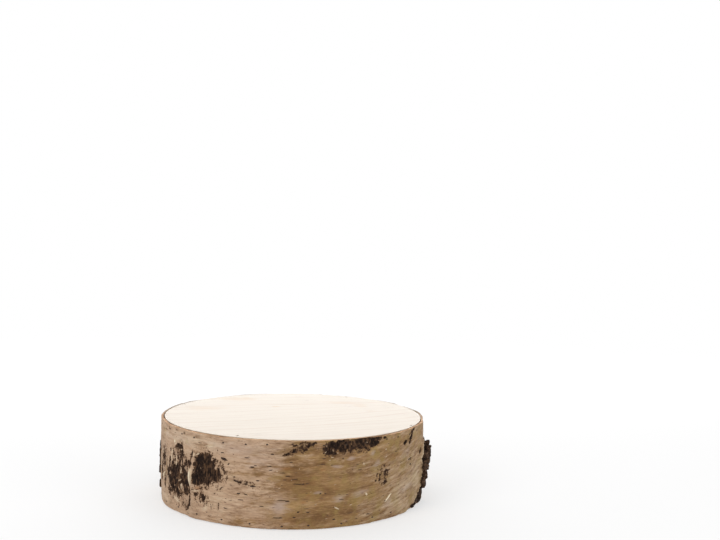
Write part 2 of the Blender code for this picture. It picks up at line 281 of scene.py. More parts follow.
# Each row gives a patch's angle, height, half sizes, tilt, raggedness, softness and strength.
PATCHES: dict[Kind, tuple[Patch, ...]] = {
    Kind.CORK: rows_of(
        Patch,
        # Branch scar at the front left, with a browner surround.
        (233, 53.5, 14.5, 16, -12, 0.7, 0.16), (238.4, 50, 7, 7.4, 0, 0.8, 0.25, 0.85),
        (229, 41.5, 7.5, 6.5, 0, 0.6, 0.15), (234, 67.6, 9, 3.6, -6, 1.2, 0.3, 0.9),
        (224.2, 56.6, 5, 5.4, 20, 1.4, 0.2, 0.62), (225.4, 63, 3, 6, 0, 1.4, 0.2, 0.5),
        (234.4, 53, 24, 22, -12, 1.6, 0.16, 0.39),
        # Fissured bark between the scar and the left edge, brown between its fissures.
        (215.6, 39, 24, 27, 14, 1.6, 0.16, 0.44), (215, 37, 19, 18, 20, 2.6, 0.45, 0.8),
        (209.2, 49.3, 2.6, 7, -6, 1.2, 0.3), (211, 32.3, 5, 7, 0, 1.4, 0.3),
        (215.4, 44, 4, 5, 0, 1, 0.3), (221.4, 39.7, 6, 9, 10, 1.3, 0.3),
        (216.3, 23.9, 3, 4.6, 14, 1, 0.3), (212.2, 24.6, 4, 3.4, 0, 1.2, 0.3),
        (222, 26.9, 5, 5.5, 0, 1.4, 0.35, 0.85), (217.8, 62, 8, 13, -6, 1.6, 0.2, 0.5),
        (216, 26, 16, 9, 10, 2, 0.3, 0.6), (221.6, 54.6, 6.5, 4, 40, 1.4, 0.4, 0.7),
        (222.6, 11.5, 8, 6, 0, 1.6, 0.2, 0.44), (228.6, 26.4, 2.2, 1.8, 0, 1.4, 0.4, 0.9),
        (232.6, 24, 2.2, 4.4, -8, 1.8, 0.4, 0.8), (231.6, 24, 12, 8, -14, 2.2, 0.2, 0.4),
        (203, 30, 8, 11, 0, 1.6, 0.2, 0.46), (201.4, 51.5, 11, 15, 0, 1.4, 0.2, 0.48),
        # Dark hollows at the left edge.
        (188.6, 44, 6.5, 17, 0, 1.4, 0.25), (199.6, 51.6, 6, 6.6, 0, 1.4, 0.25),
        (196, 33, 4, 9, -10, 1.6, 0.25), (188.6, 14, 5, 8, 0, 1.6, 0.3, 0.85),
        # Brown ground of the slanting run at the upper middle.
        (269.4, 78, 8, 3.6, 34, 1.8, 0.2, 0.44), (273.8, 83.2, 11, 5.4, 30, 1.8, 0.2, 0.44),
        # Rough black strip under the rim.
        (284.4, 82, 8.4, 8.4, -10, 1.4, 0.25, 0.88), (290.4, 84, 10, 7.4, 0, 1.2, 0.25),
        (297.6, 84.2, 12, 8.4, 0, 1.3, 0.25, 0.95), (304, 85.4, 9.4, 6.8, 8, 1.2, 0.25, 0.95),
        (309.6, 86.8, 2.6, 1.2, 0, 0.8, 0.4, 0.9), (293, 84, 32, 8.6, 4, 1.6, 0.16, 0.42),
        # Brown ground of the marks at the upper right.
        (327.6, 80.6, 7, 7.6, 0, 1.6, 0.2, 0.37), (339.8, 60, 1.6, 3.6, -20, 0.6, 0.35, 0.9),
        # Knot at the front right.
        (310.3, 40.6, 3.4, 4.4, -16, 0.9, 0.3, 0.6), (309.2, 47.4, 8.4, 12, 0, 1.6, 0.2, 0.4),
        # Small slanting cluster right of the scar.
        (251, 45.6, 12, 4, -8, 2, 0.2, 0.3),
        # Notched dark edge at the bottom right.
        (330, 3.4, 5.4, 2, 18, 0.8, 0.3, 0.95),
        # Thick broken bark down the left side.
        (151, 56, 10, 34, 0, 1.2, 0.25), (163, 40, 16, 22, 10, 1.6, 0.3),
        (158, 12, 14, 8, 0, 1.6, 0.35, 0.9),
        # Scars and torn strips on the hidden side.
        (118, 40, 13, 15, 8, 0.7, 0.14), (126, 47, 9, 4, -24, 1.5, 0.35, 0.85),
        (94.5, 74, 9, 13, 0, 1.1, 0.25), (87, 80, 12, 6, 0, 1.4, 0.3, 0.9),
        (62, 84, 16, 4.6, 0, 1.3, 0.3), (46, 34, 8, 12, -12, 1, 0.2),
        (72, 18, 12, 2.6, 10, 1.8, 0.4, 0.8), (20, 66, 7, 3, -12, 1.6, 0.35, 0.9),
        (28, 12, 9, 2.2, 6, 1.6, 0.4, 0.8), (3, 36, 13, 26, 0, 2, 0.35, 0.9),
        (-5, 60, 12, 16, 0, 1.8, 0.35, 0.9), (2, 44, 24, 40, 0, 1.8, 0.2, 0.42),
        (118, 40, 20, 22, 8, 1.6, 0.16, 0.4), (158, 46, 38, 46, 0, 1.8, 0.2, 0.43),
        (92, 78, 24, 16, 0, 1.8, 0.2, 0.42), (46, 34, 14, 18, -12, 1.6, 0.16, 0.4),
    ),
    Kind.SHADE: rows_of(
        Patch,
        (276.1, 57.6, 9, 1.4, -3, 1.2, 0.6, 0.75), (273, 46, 20, 15, 0, 1.2, 0.6, 0.56),
        # The patch at 286.8 degrees is a painted shadow under the black strip below the rim.
        (284.6, 53.9, 5, 2, -8, 1.2, 0.6, 0.65), (286.8, 73.7, 11, 2.6, 0, 1.4, 0.7, 0.8),
        (272, 13.5, 13, 3.4, 3, 1, 0.7, 0.6), (281.5, 10.4, 20, 7, 0, 1.2, 0.9, 0.6),
        (276.2, 3.4, 26, 3.6, 0, 1.2, 0.9, 0.45), (263, 8, 20, 8, 0, 1.2, 0.9, 0.5),
        (224, 16, 12, 16, 0, 1.2, 0.6, 0.4), (214, 24, 14, 12, 0, 1.2, 0.6, 0.5),
        (284.6, 83.6, 34, 5, 0, 1, 0.9, 0.35), (295.1, 17.6, 16, 5, 10, 1.2, 0.9, 0.4),
        (216.5, 37.9, 26, 23, 14, 0.9, 0.6, 0.55), (194, 42, 15, 34, 0, 0.9, 0.7, 0.55),
        (239.8, 18.3, 0.9, 4, 0, 0.5, 0.6, 0.9), (236.9, 15.7, 0.6, 2.2, 0, 0.5, 0.6, 0.8),
        (231.3, 67.7, 18, 3.4, 0, 1.2, 0.8, 0.35), (210.4, 7, 4.6, 2, 24, 0.8, 0.5, 0.7),
        (229.7, 6.1, 7, 1.4, 8, 1, 0.6, 0.8), (306.9, 45.2, 14, 13, 0, 1.2, 0.9, 0.3),
        (155, 45, 44, 50, 0, 0.8, 0.8, 0.5), (100, 10, 60, 7, 0, 1.2, 0.9, 0.45),
        (30, 80, 46, 8, 0, 1.2, 0.9, 0.4),
    ),
    Kind.LAVENDER: rows_of(
        Patch,
        (265.4, 23.6, 7.6, 6, 0, 0.9, 0.5, 0.9), (288.9, 30.2, 6, 3.6, 12, 1, 0.5, 0.8),
        (279.8, 37.2, 4.6, 1.3, 6, 0.9, 0.5, 0.8), (287.4, 62.7, 5.4, 1.5, -6, 0.9, 0.5, 0.75),
        (293.6, 70, 4, 2.2, 0, 1, 0.5, 0.8), (303.5, 72.5, 3.6, 2.4, 20, 0.9, 0.5, 0.85),
        (305.6, 60.6, 5.4, 3, 44, 0.9, 0.5, 0.75), (325.6, 27.9, 15, 2.8, 8, 1, 0.6, 0.8),
        (298.4, 34.5, 9, 4.6, 10, 1.2, 0.7, 0.6), (312.3, 18, 6, 4.6, 30, 1, 0.6, 0.65),
        (247, 79.2, 34, 6, -2, 1.2, 0.9, 0.72), (218, 79.7, 24, 5, 0, 1.2, 0.9, 0.72),
        (256.8, 67.8, 16, 8, 0, 1.2, 0.9, 0.6), (325.4, 65.8, 9, 6, 30, 1.4, 0.8, 0.6),
        (60, 52, 24, 10, 0, 1.4, 0.9, 0.7), (100, 55, 18, 7, 0, 1.4, 0.9, 0.6),
        (20, 40, 14, 12, 0, 1.4, 0.9, 0.6),
    ),
    Kind.RUST: rows_of(
        Patch,
        (267.9, 61.7, 6.4, 1.7, 0, 0.8, 0.6, 0.9), (281.6, 60.1, 4.4, 1.6, 4, 0.8, 0.6, 0.9),
        (276.1, 35.4, 3.4, 1.6, 0, 1, 0.6, 0.85), (274.3, 28, 3.6, 1.5, 0, 1, 0.6, 0.85),
        (272.3, 48.1, 6, 3, 0, 1.6, 0.8, 0.5), (275, 46, 26, 18, 0, 1.2, 0.5, 0.42),
        (262, 9, 28, 8, 0, 1.2, 0.9, 0.5), (254, 54, 22, 6, 0, 1.2, 0.9, 0.3),
        (285.7, 44, 8, 4, -6, 1.6, 0.9, 0.5), (315.7, 64.8, 5.4, 3.2, 30, 1, 0.8, 0.55),
        (335.6, 55.5, 4, 6, -8, 1, 0.8, 0.6), (318.5, 40.3, 10, 5, 14, 1.4, 0.9, 0.45),
        (230, 33.1, 6.6, 2.2, 8, 0.5, 0.4, 0.9), (235.1, 66.3, 3.2, 2.8, 0, 0.8, 0.5, 0.85),
        (289.5, 84.7, 4, 3, 0, 1.2, 0.5, 0.8), (70, 30, 14, 3, 0, 1.4, 0.8, 0.8),
        (104, 22, 12, 3, 6, 1.4, 0.8, 0.8), (36, 58, 11, 3, -5, 1.4, 0.8, 0.7),
    ),
    Kind.PALE: rows_of(
        Patch,
        # Smooth lip on the scar's left, and the cream line under it.
        (225.6, 43.6, 2.4, 8, -6, 0.3, 0.15), (228.5, 29.8, 7, 0.9, 8, 0.4, 0.35, 0.95),
        (227.7, 66.6, 2.4, 2, 30, 0.8, 0.4, 0.9),
        # Worn white film.
        (233.8, 14, 3.8, 2.2, 40, 1.4, 0.5, 0.85), (216, 13.3, 7, 2.2, -12, 1.6, 0.5, 0.85),
        (213.7, 73.5, 2.8, 2.4, 0, 0.9, 0.4, 0.95), (220.4, 76.1, 1.4, 4, 0, 1, 0.5, 0.7),
        (234.9, 78.4, 4.6, 1.3, 10, 0.6, 0.5, 0.8), (204.6, 57.5, 2, 13, -4, 0.9, 0.6, 0.34),
        (204.9, 40.2, 1.7, 12, 4, 0.8, 0.5, 0.75), (197.6, 51.6, 1.4, 9, 4, 0.8, 0.5, 0.6),
        (212.2, 55.6, 3.4, 6, 10, 1, 0.6, 0.5), (218.3, 35.9, 5.6, 0.9, 28, 0.7, 0.5, 0.8),
        (210.7, 58, 1.8, 9, -4, 1.4, 0.3, 0.78), (214.6, 54, 1.5, 8, 8, 1.4, 0.3, 0.74),
        (207.2, 47, 1.4, 9, 3, 1.4, 0.3, 0.62), (218.6, 46, 1.2, 6, -6, 1.4, 0.3, 0.72),
        (219, 30, 1.5, 5, -8, 1.4, 0.3, 0.74), (192.6, 42, 1.3, 9, 0, 1.4, 0.3, 0.78),
        (214.8, 30.8, 4.4, 0.8, 34, 0.7, 0.5, 0.6), (244.7, 26.1, 10, 8, 20, 1.2, 0.9, 0.35),
        (342.1, 40, 1.4, 14, -28, 0.5, 0.5, 0.7), (336.7, 9.5, 1.4, 9, -30, 0.6, 0.5, 0.6),
        (324, 34, 34, 15, 12, 1, 0.6, 0.5), (318, 16, 34, 14, 14, 1, 0.6, 0.5),
        (335, 34, 18, 22, 0, 1, 0.6, 0.66), (322, 9, 22, 9, 10, 1, 0.6, 0.56),
        (224, 80, 48, 9, 0, 1, 0.6, 0.56), (239, 24, 18, 10, 0, 1.2, 0.6, 0.46),
        (203, 10, 22, 7, 0, 1.2, 0.6, 0.5),
    ),
    Kind.LICHEN: rows_of(
        Patch,
        (222.8, 78.6, 3.2, 2, 0, 0.8, 0.5, 0.85), (201.8, 81.2, 3.4, 2, 0, 1, 0.5, 0.8),
        (198.7, 74.5, 3, 9, 0, 1.2, 0.8, 0.5), (235, 78, 3.6, 1.3, 8, 0.7, 0.5, 0.5),
        (334.8, 81.9, 12, 5, 0, 1.2, 0.9, 0.4), (80, 62, 10, 5, 0, 1.4, 0.8, 0.6),
    ),
    Kind.BARE: rows_of(
        Patch,
        (276.1, 50.2, 34, 13, -3, 1, 0.9, 0.35), (284.6, 12.5, 34, 10, 2, 1, 0.9, 0.35),
        (297.5, 78.4, 40, 9, 0, 1, 0.9, 0.3), (249.1, 5, 16, 6, 0, 1.2, 0.9, 0.35),
        (90, 30, 46, 18, 0, 1.2, 0.9, 0.3),
    ),
}


@dataclass(frozen=True)
class Fissure:
    """A crack or torn line in the bark: its path of angles and heights, half width and strength."""

    path: tuple[tuple[float, float], ...]
    wide: float = 1.2
    strength: float = 1.0

    def cover(self, along: Array, height: Array, rough: Array) -> Array:
        """Return how far the line covers places on the bark, as a patch does.

        Args:
            along: Lengths along the bark.
            height: Heights.
            rough: Noise that tears the edge.

        Returns:
            The cover, 0 to 1.
        """
        away = np.full(along.shape, 99.0)
        for (first_angle, first), (last_angle, last) in zip(self.path, self.path[1:]):
            off_along, off_up = along - arc(first_angle), height - first
            run, rise = arc(last_angle) - arc(first_angle), last - first
            share = np.clip((off_along * run + off_up * rise) / (run * run + rise * rise), 0.0, 1.0)
            away = np.minimum(away, np.hypot(off_along - share * run, off_up - share * rise))
        return self.strength * np.clip(1.35 - away / self.wide + 1.3 * rough, 0.0, 1.0)


FISSURES = rows_of(
    Fissure,
    # Dark wedge and long upright fissures at the left.
    (((204.5, 31), (203, 27), (202.5, 23)), 2.6),
    (((209, 55), (208.8, 46), (209.2, 40), (210.3, 32), (211, 26)), 1.4),
    (((212, 46), (213.2, 35), (214.5, 25)), 1.2),
    (((215, 50), (215.6, 38), (216.8, 28)), 1.2),
    (((219, 58), (220.3, 47), (219.7, 36), (221.2, 25)), 1.1),
    (((222.4, 57), (223.4, 46), (224.2, 34), (225, 24), (225, 15), (223.4, 8)), 1.4),
    (((214.6, 69), (216, 72), (218.4, 71), (219.2, 66), (218.2, 59)), 1.6),
    (((205.5, 68), (206.4, 60), (206, 52)), 0.7, 0.7),
    (((211.5, 66), (212.5, 58), (211.8, 50)), 0.7, 0.7),
    (((207, 27), (209, 24), (211.5, 22.5)), 0.8, 0.8),
    # Dark outlines and fine cracks round the scar.
    (((226.6, 70), (225.8, 62), (225.2, 56)), 1.1),
    (((227.3, 51), (226.9, 44), (227.4, 37), (228.6, 33)), 0.9),
    (((238, 66), (241, 59), (243.8, 51), (243.2, 42), (240.4, 35)), 0.5, 0.55),
    (((247, 46.6), (248.4, 45.6), (249.8, 45.4)), 1, 0.66),
    (((249.6, 47), (253, 46), (256, 45.4)), 0.6, 0.5),
    (((251, 44.2), (254, 43.2), (257.6, 42.4)), 0.6, 0.5),
    (((240.2, 22), (240.3, 15)), 0.6, 0.6),
    (((236.4, 19), (236.6, 14)), 0.5, 0.6),
    (((226, 29.5), (229, 31), (232, 34)), 0.7, 0.6),
    # Arcs round the knot.
    (((305, 43.4), (305.6, 50.4)), 1.3, 0.5),
    (((306.8, 43.4), (307.1, 48.4), (308.6, 52.6)), 1.4, 0.64),
    (((309.9, 45.6), (309.3, 49.8), (310.8, 51.6), (312.8, 52.8)), 1.5, 0.54),
    (((309.6, 56.4), (313, 57.2)), 1.2, 0.42),
    (((308.2, 39), (309.2, 37.4)), 1.2, 0.5),
    # Slanting run of marks at the upper middle.
    (((266.8, 75.2), (268.4, 76.4)), 1.3),
    (((270.2, 79), (270.8, 80.4)), 1.5),
    (((272.6, 82), (273.2, 83.4)), 1.4),
    (((274.2, 80), (275.4, 80.8)), 1, 0.9),
    (((275.8, 84.2), (277, 85.4)), 1.3),
    (((278, 87), (278.8, 87.6)), 1.2),
    (((270.2, 84.4), (271.4, 85.2)), 1.2),
    (((272.6, 86.6), (273.6, 87.6)), 1),
    (((275.6, 88), (276.2, 87)), 0.9),
    # Marks at the upper right.
    (((322.8, 76.6), (324.2, 77.2)), 2.3, 0.9),
    (((327.6, 75.6), (328.6, 79), (329.6, 83), (330.4, 86.4)), 2.6),
    (((329.4, 86), (331.6, 87.6)), 2, 0.9),
    (((328.2, 58), (328.8, 55.6)), 1, 0.85),
    # Torn strips and cracks on the hidden side.
    (((12, 82), (14, 70), (13, 58)), 1.1, 0.9),
    (((34, 26), (42, 24), (50, 26)), 0.9, 0.8),
    (((74, 62), (80, 60), (88, 61)), 0.9, 0.8),
)


@dataclass(frozen=True)
class Lift:
    """A place where the sheet stands clear of the boards: angle, half width, clearance added."""

    angle: float
    wide: float
    rise: float


@dataclass(frozen=True)
class Relief:
    """A broad rise or hollow of the outer face: angle, half width, height, half height, rise."""

    angle: float
    wide: float
    height: float
    tall: float
    rise: float


class BarkForm:
    """The sheet's plain form, as the solid has it: where its two faces and its rims run."""

    BACK_END = -12.3
    FRONT_END = 346.4
    INNER_RADIUS = 146.3
    THICKNESS = 2.2
    LEAST = 1.2
    MOST = 9.0
    BOTTOM = 0.6
    TOP = 89.6
    RIM_WAVE = 0.35
    REACH_HEIGHTS = (0.0, 20.0, 34.0, 50.0, 60.0, 70.0, 90.0)
    REACHES = (0.4, 2.6, 4.4, 8.4, 7.2, 1.6, 1.2)
    FRONT_SPREAD = 9.5
    FRONT_LIFT_SHARE = 0.42
    BACK_SPREAD = 5.0
    BACK_LIFT_SHARE = 0.50
    BACK_CORK_SPREAD = 9.0
    BACK_CORK_SHARE = 0.55
    LIFTS = rows_of(
        Lift,
        (8, 8, 0.9), (33, 6, 1.3), (63, 4.5, 1.6), (152, 20, 1.5), (184, 18, 0.9), (207, 9, 1),
        (228, 6, 1.2),
    )
    # The loose curl and chips at the back are low here, because they are pieces of their own.
    RELIEFS = rows_of(
        Relief,
        (160, 26, 46, 80, 2.4), (150, 5, 58, 34, 2.2), (178, 9, 40, 52, 0.9),
        (232.7, 11.5, 52.5, 27, 2.4), (233.2, 8, 53.5, 18, -3), (224.1, 3.5, 42.6, 14, 1.6),
        (210.6, 3.5, 36.2, 22, 1.5), (216.7, 3.5, 34, 24, 1.8), (215.2, 3.5, 68.5, 9, 1.6),
        (294.3, 15, 82.6, 9, -0.8), (308, 5.5, 46.3, 12, 1.3), (94.5, 3.8, 74, 15, 1.8),
        (85.5, 3, 76, 11, 1), (118, 9, 40, 20, 2), (118, 6, 40, 12, -2.4), (46, 7, 34, 16, 1.4),
        (224.5, 3, 79.9, 9, 2.4),
    )
    BITES = rows_of(Lift, (328.5, 3.6, 3.2), (337, 3.2, 2))

    def end_ramp(self, turn_from_end: Array, spread: float) -> Array:
        """Return 1 at an end of the sheet, falling smoothly to 0 over the spread."""
        return smooth(1.0 - turn_from_end / spread)

    def reach(self, height: Array) -> Array:
        """Return how far the torn cork at the seam stands out, by height."""
        return np.interp(height, self.REACH_HEIGHTS, self.REACHES)

    def inner_radius(self, angle: Array, height: Array) -> Array:
        """Return the radius of the sheet's inner face.

        Args:
            angle: Angles.
            height: Heights.

        Returns:
            The radii.
        """
        lift = sum(one.rise * bell(turn_between(angle, one.angle), one.wide) for one in self.LIFTS)
        back = self.end_ramp(angle - self.BACK_END, self.BACK_SPREAD) * self.BACK_LIFT_SHARE
        front = self.end_ramp(self.FRONT_END - angle, self.FRONT_SPREAD) * self.FRONT_LIFT_SHARE
        return self.INNER_RADIUS + lift + self.reach(height) * np.maximum(back, front)

    def thickness(self, angle: Array, height: Array) -> Array:
        """Return the sheet's thickness, with the broad relief of its outer face.

        Args:
            angle: Angles.
            height: Heights.

        Returns:
            The thicknesses.
        """
        thickness = np.full(np.broadcast(angle, height).shape, self.THICKNESS)
        for one in self.RELIEFS:
            across = bell(turn_between(angle, one.angle), one.wide)
            thickness = thickness + one.rise * across * bell(height - one.height, one.tall)
        front = self.end_ramp(self.FRONT_END - angle, self.FRONT_SPREAD)
        cork = bell(turn_between(angle, 0.0), self.BACK_CORK_SPREAD) * self.BACK_CORK_SHARE
        thickness = thickness + self.reach(height) * ((1.0 - self.FRONT_LIFT_SHARE) * front + cork)
        return np.clip(thickness, self.LEAST, self.MOST)

    def rims(self, angle: Array) -> tuple[Array, Array]:
        """Return the heights of the sheet's lower and upper rim.

        Args:
            angle: Angles.

        Returns:
            The heights of the lower and of the upper rim.
        """
        turn = np.radians(angle)
        wave = self.RIM_WAVE * np.sin(7.0 * turn + 0.6) * np.cos(3.0 * turn)
        bite = sum(one.rise * bell(turn_between(angle, one.angle), one.wide) for one in self.BITES)
        return self.BOTTOM + 0.5 * np.abs(wave) + bite, self.TOP + wave


@dataclass
class BrokenEdge:
    """Where the pale front sheet has torn away, so that dark cork shows up to its end.

    The heights and angles are points on the pale sheet's edge, from the floor up.
    """

    heights: tuple[float, ...] = (0, 3, 11, 14, 21, 24, 33, 42, 50, 60, 66, 70, 90)
    angles: tuple[float, ...] = (
        328.8, 330.4, 335.6, 338.4, 342, 341.8, 342.4, 341.6, 341, 341.8, 343.8, 348, 349.5,
    )

    def beyond(self, angle: Array, height: Array, rough: Array) -> Array:
        """Return how far a place lies beyond the edge, along the bark, made ragged by noise."""
        return arc(angle - np.interp(height, self.heights, self.angles)) + 6.0 * rough


@dataclass
class Brad:
    """A brad's head in the bark: its angle and height."""

    angle: float
    height: float


@dataclass
class BradRows:
    """The two rows of brads that pin the bark to the edges of the boards.

    The seen ones are placed as the photo has them, and the rest follow at the row's own pitch.
    """

    top_height: float = 84.2
    bottom_height: float = 6.0
    top_pitch: float = 9.0
    bottom_pitch: float = 11.65
    head_wide: float = 1.25
    head_tall: float = 0.8
    jitter_angle: float = 0.8
    jitter_height: float = 0.7
    first_step: float = 0.7
    least_gap: float = 0.72
    top_seed: int = 31
    bottom_seed: int = 32
    seen_top: tuple[Brad, ...] = rows_of(
        Brad,
        (203.1, 82.8), (241.7, 83.5), (251.5, 84.2), (260, 85.3), (269.8, 86.3), (310.8, 84.9),
    )
    seen_bottom: tuple[Brad, ...] = rows_of(
        Brad,
        (229.5, 6.1), (241.7, 5.4), (253.7, 4.9), (266.3, 3.9), (276.5, 4.6), (289.8, 4.5),
        (303.9, 6.3), (314.3, 6.5),
    )

    def fill(self, seen: tuple[Brad, ...], height: float, pitch: float, seed: int) -> list[Brad]:
        """Add brads at the row's pitch wherever none is seen.

        Args:
            seen: The brads that the photo shows.
            height: The row's height.
            pitch: The turn from one brad to the next.
            seed: Seed of the small shifts.

        Returns:
            The whole row, round the drum.
        """
        draw = np.random.default_rng(seed)
        row = list(seen)
        count = round((BarkForm.FRONT_END - BarkForm.BACK_END - pitch) / pitch)
        for number in range(count):
            angle = BarkForm.BACK_END + (number + self.first_step) * pitch
            angle += self.jitter_angle * (2.0 * draw.random() - 1.0)
            up = height + self.jitter_height * (2.0 * draw.random() - 1.0)
            if min(abs(angle - one.angle) for one in seen) > self.least_gap * pitch:
                row.append(Brad(angle, up))
        return row

    def rows(self) -> dict[str, list[Brad]]:
        """Return both rows by the name of their piece.

        Returns:
            The brads of each row, by the name of its piece.
        """
        return {
            "brads_top": self.fill(
                self.seen_top, self.top_height, self.top_pitch, self.top_seed
            ),
            "brads_bottom": self.fill(
                self.seen_bottom, self.bottom_height, self.bottom_pitch, self.bottom_seed
            ),
        }


class Graph:
    """Lays out one node tree: each call adds a node and returns what it puts out."""

    def __init__(self, tree: bpy.types.NodeTree) -> None:
        """Take the tree to lay out."""
        self.tree = tree

    def add(self, kind: str, *values: object, **settings: object) -> bpy.types.Node:
        """Add a node of a kind, set its properties and feed its first inputs.

        Args:
            kind: The node's type name.
            values: What goes into its first inputs, in their order.
            settings: Its properties.

        Returns:
            The node.
        """
        node = self.tree.nodes.new(kind)
        for name, value in settings.items():
            setattr(node, name, value)
        for socket, value in zip(node.inputs, values):
            self.feed(socket, value)
        return node

    def feed(self, socket: Socket, value: object) -> None:
        """Link a socket to another, or set its own value.

        Args:
            socket: The input.
            value: An output to link, or a plain value.
        """
        if isinstance(value, bpy.types.NodeSocket):
            self.tree.links.new(value, socket)
        else:
            socket.default_value = value

    def give(self, node: bpy.types.Node, **inputs: object) -> bpy.types.Node:
        """Feed a node's inputs by name.

        Args:
            node: The node.
            inputs: What goes into each input, by its name with _ for a space.

        Returns:
            The node.
        """
        for name, value in inputs.items():
            self.feed(node.inputs[name.replace("_", " ")], value)
        return node

    def math(self, operation: str, first: object, second: object = 0.0, clamp: bool = False) -> Socket:
        """Return the result of a Math node, kept within 0 and 1 where it is clamped."""
        node = self.add("ShaderNodeMath", first, second, operation=operation, use_clamp=clamp)
        return node.outputs[0]

    def times(self, first: object, second: object) -> Socket:
        """Return the product of two values."""
        return self.math("MULTIPLY", first, second)

    def times_plus(self, value: object, factor: object, extra: object) -> Socket:
        """Return value times factor plus extra."""
        return self.add("ShaderNodeMath", value, factor, extra, operation="MULTIPLY_ADD").outputs[0]

    def sway(self, noise: object, reach: object, value: object) -> Socket:
        """Return a value pushed up and down by noise, which lies about one half."""
        return self.times_plus(self.math("SUBTRACT", noise, 0.5), reach, value)

    def span(
        self, value: object, low: object, high: object, start: object = 0.0, end: object = 1.0
    ) -> Socket:
        """Return a value mapped from low and high to start and end, eased and clamped."""
        ends = (low, high, start, end)
        return self.add("ShaderNodeMapRange", value, *ends, interpolation_type="SMOOTHSTEP").outputs[0]

    def vector(self, operation: str, first: object, second: object = (0.0, 0.0, 0.0)) -> Socket:
        """Return the result of a Vector Math node: a number for a length, or else a vector."""
        node = self.add("ShaderNodeVectorMath", first, second, operation=operation)
        return node.outputs["Value" if operation == "LENGTH" else "Vector"]

    def split(self, vector: object) -> tuple[Socket, ...]:
        """Return the X, Y and Z of a vector."""
        return tuple(self.add("ShaderNodeSeparateXYZ", vector).outputs)

    def join(self, x: object, y: object, z: object = 0.0) -> Socket:
        """Return a vector made of three parts."""
        return self.add("ShaderNodeCombineXYZ", x, y, z).outputs[0]

    def noise(self, places: object, scale: object, detail: float = 3.0, rough: float = 0.55) -> Socket:
        """Return smooth noise about one half, by cells to the unit and the share of finer layers."""
        node = self.add("ShaderNodeTexNoise")
        return self.give(node, Vector=places, Scale=scale, Detail=detail, Roughness=rough).outputs[0]

    def cells(self, places: object) -> Socket:
        """Return the distance to the nearest point of a jittered lattice."""
        node = self.add("ShaderNodeTexVoronoi")
        return self.give(node, Vector=places, Scale=1.0).outputs["Distance"]

    def blend(self, share: object, under: object, over: object, way: str = "MIX") -> Socket:
        """Return one colour laid over another by a share.

        Args:
            share: How much of the upper colour shows.
            under: The lower colour.
            over: The upper colour.
            way: How the two mix.

        Returns:
            The colour.
        """
        node = self.add("ShaderNodeMix", data_type="RGBA", blend_type=way, clamp_factor=True)
        self.feed(node.inputs[0], share)
        self.feed(node.inputs[6], under)
        self.feed(node.inputs[7], over)
        return node.outputs[2]

    def ramp(self, value: object, stops: tuple[tuple[float, Colour], ...]) -> Socket:
        """Return a colour read from stops of place and colour.

        Args:
            value: The value.
            stops: Places and their colours, in order.

        Returns:
            The colour.
        """
        node = self.add("ShaderNodeValToRGB")
        elements = node.color_ramp.elements
        while len(elements) < len(stops):
            elements.new(0.5)
        for element, (place, colour) in zip(elements, stops):
            element.position = place
            element.color = colour
        self.feed(node.inputs[0], value)
        return node.outputs["Color"]

    def curve(self, value: object, points: list[tuple[float, float]]) -> Socket:
        """Return a value read from a line through points, each from 0 to 1 both ways.

        Args:
            value: The value.
            points: The points, in order.

        Returns:
            The result.
        """
        node = self.add("ShaderNodeFloatCurve")
        line = node.mapping.curves[0]
        while len(line.points) < len(points):
            line.points.new(0.5, 0.5)
        for point, place in zip(line.points, points):
            point.location = place
            point.handle_type = "VECTOR"
        node.mapping.update()
        self.feed(node.inputs["Value"], value)
        return node.outputs[0]

    def mask(self, name: str) -> Socket:
        """Return a mask that the mesh carries."""
        return self.add("ShaderNodeAttribute", attribute_name=name).outputs["Fac"]

    def places(self, name: str) -> Socket:
        """Return a vector that the mesh carries."""
        return self.add("ShaderNodeAttribute", attribute_name=name).outputs["Vector"]

    def object_places(self) -> Socket:
        """Return the places of the frame, in metres."""
        return self.add("ShaderNodeTexCoord").outputs["Object"]

    def use(self, group: bpy.types.NodeTree, **inputs: object) -> Socket:
        """Place a shared group with its own inputs, and return what it puts out."""
        return self.give(self.add("ShaderNodeGroup", node_tree=group), **inputs).outputs[0]


def new_group(
    name: str, output: str, **inputs: float | None
) -> tuple[bpy.types.NodeTree, Graph, bpy.types.NodeOutputs, Socket]:
    """Make an empty shared group.

    Args:
        name: The effect's name.
        output: The name of the mask or value that it puts out.
        inputs: Each input by name, with a number for a value and None for a vector.

    Returns:
        The group, its graph, its input sockets by name and the socket of its output.
    """
    group = bpy.data.node_groups.new(name, "ShaderNodeTree")
    for label, value in inputs.items():
        kind = "NodeSocketVector" if value is None else "NodeSocketFloat"
        socket = group.interface.new_socket(name=label, in_out="INPUT", socket_type=kind)
        if value is not None:
            socket.default_value = value
    group.interface.new_socket(name=output, in_out="OUTPUT", socket_type="NodeSocketFloat")
    graph = Graph(group)
    given = graph.add("NodeGroupInput").outputs
    wanted = graph.add("NodeGroupOutput").inputs[output]
    return group, graph, given, wanted


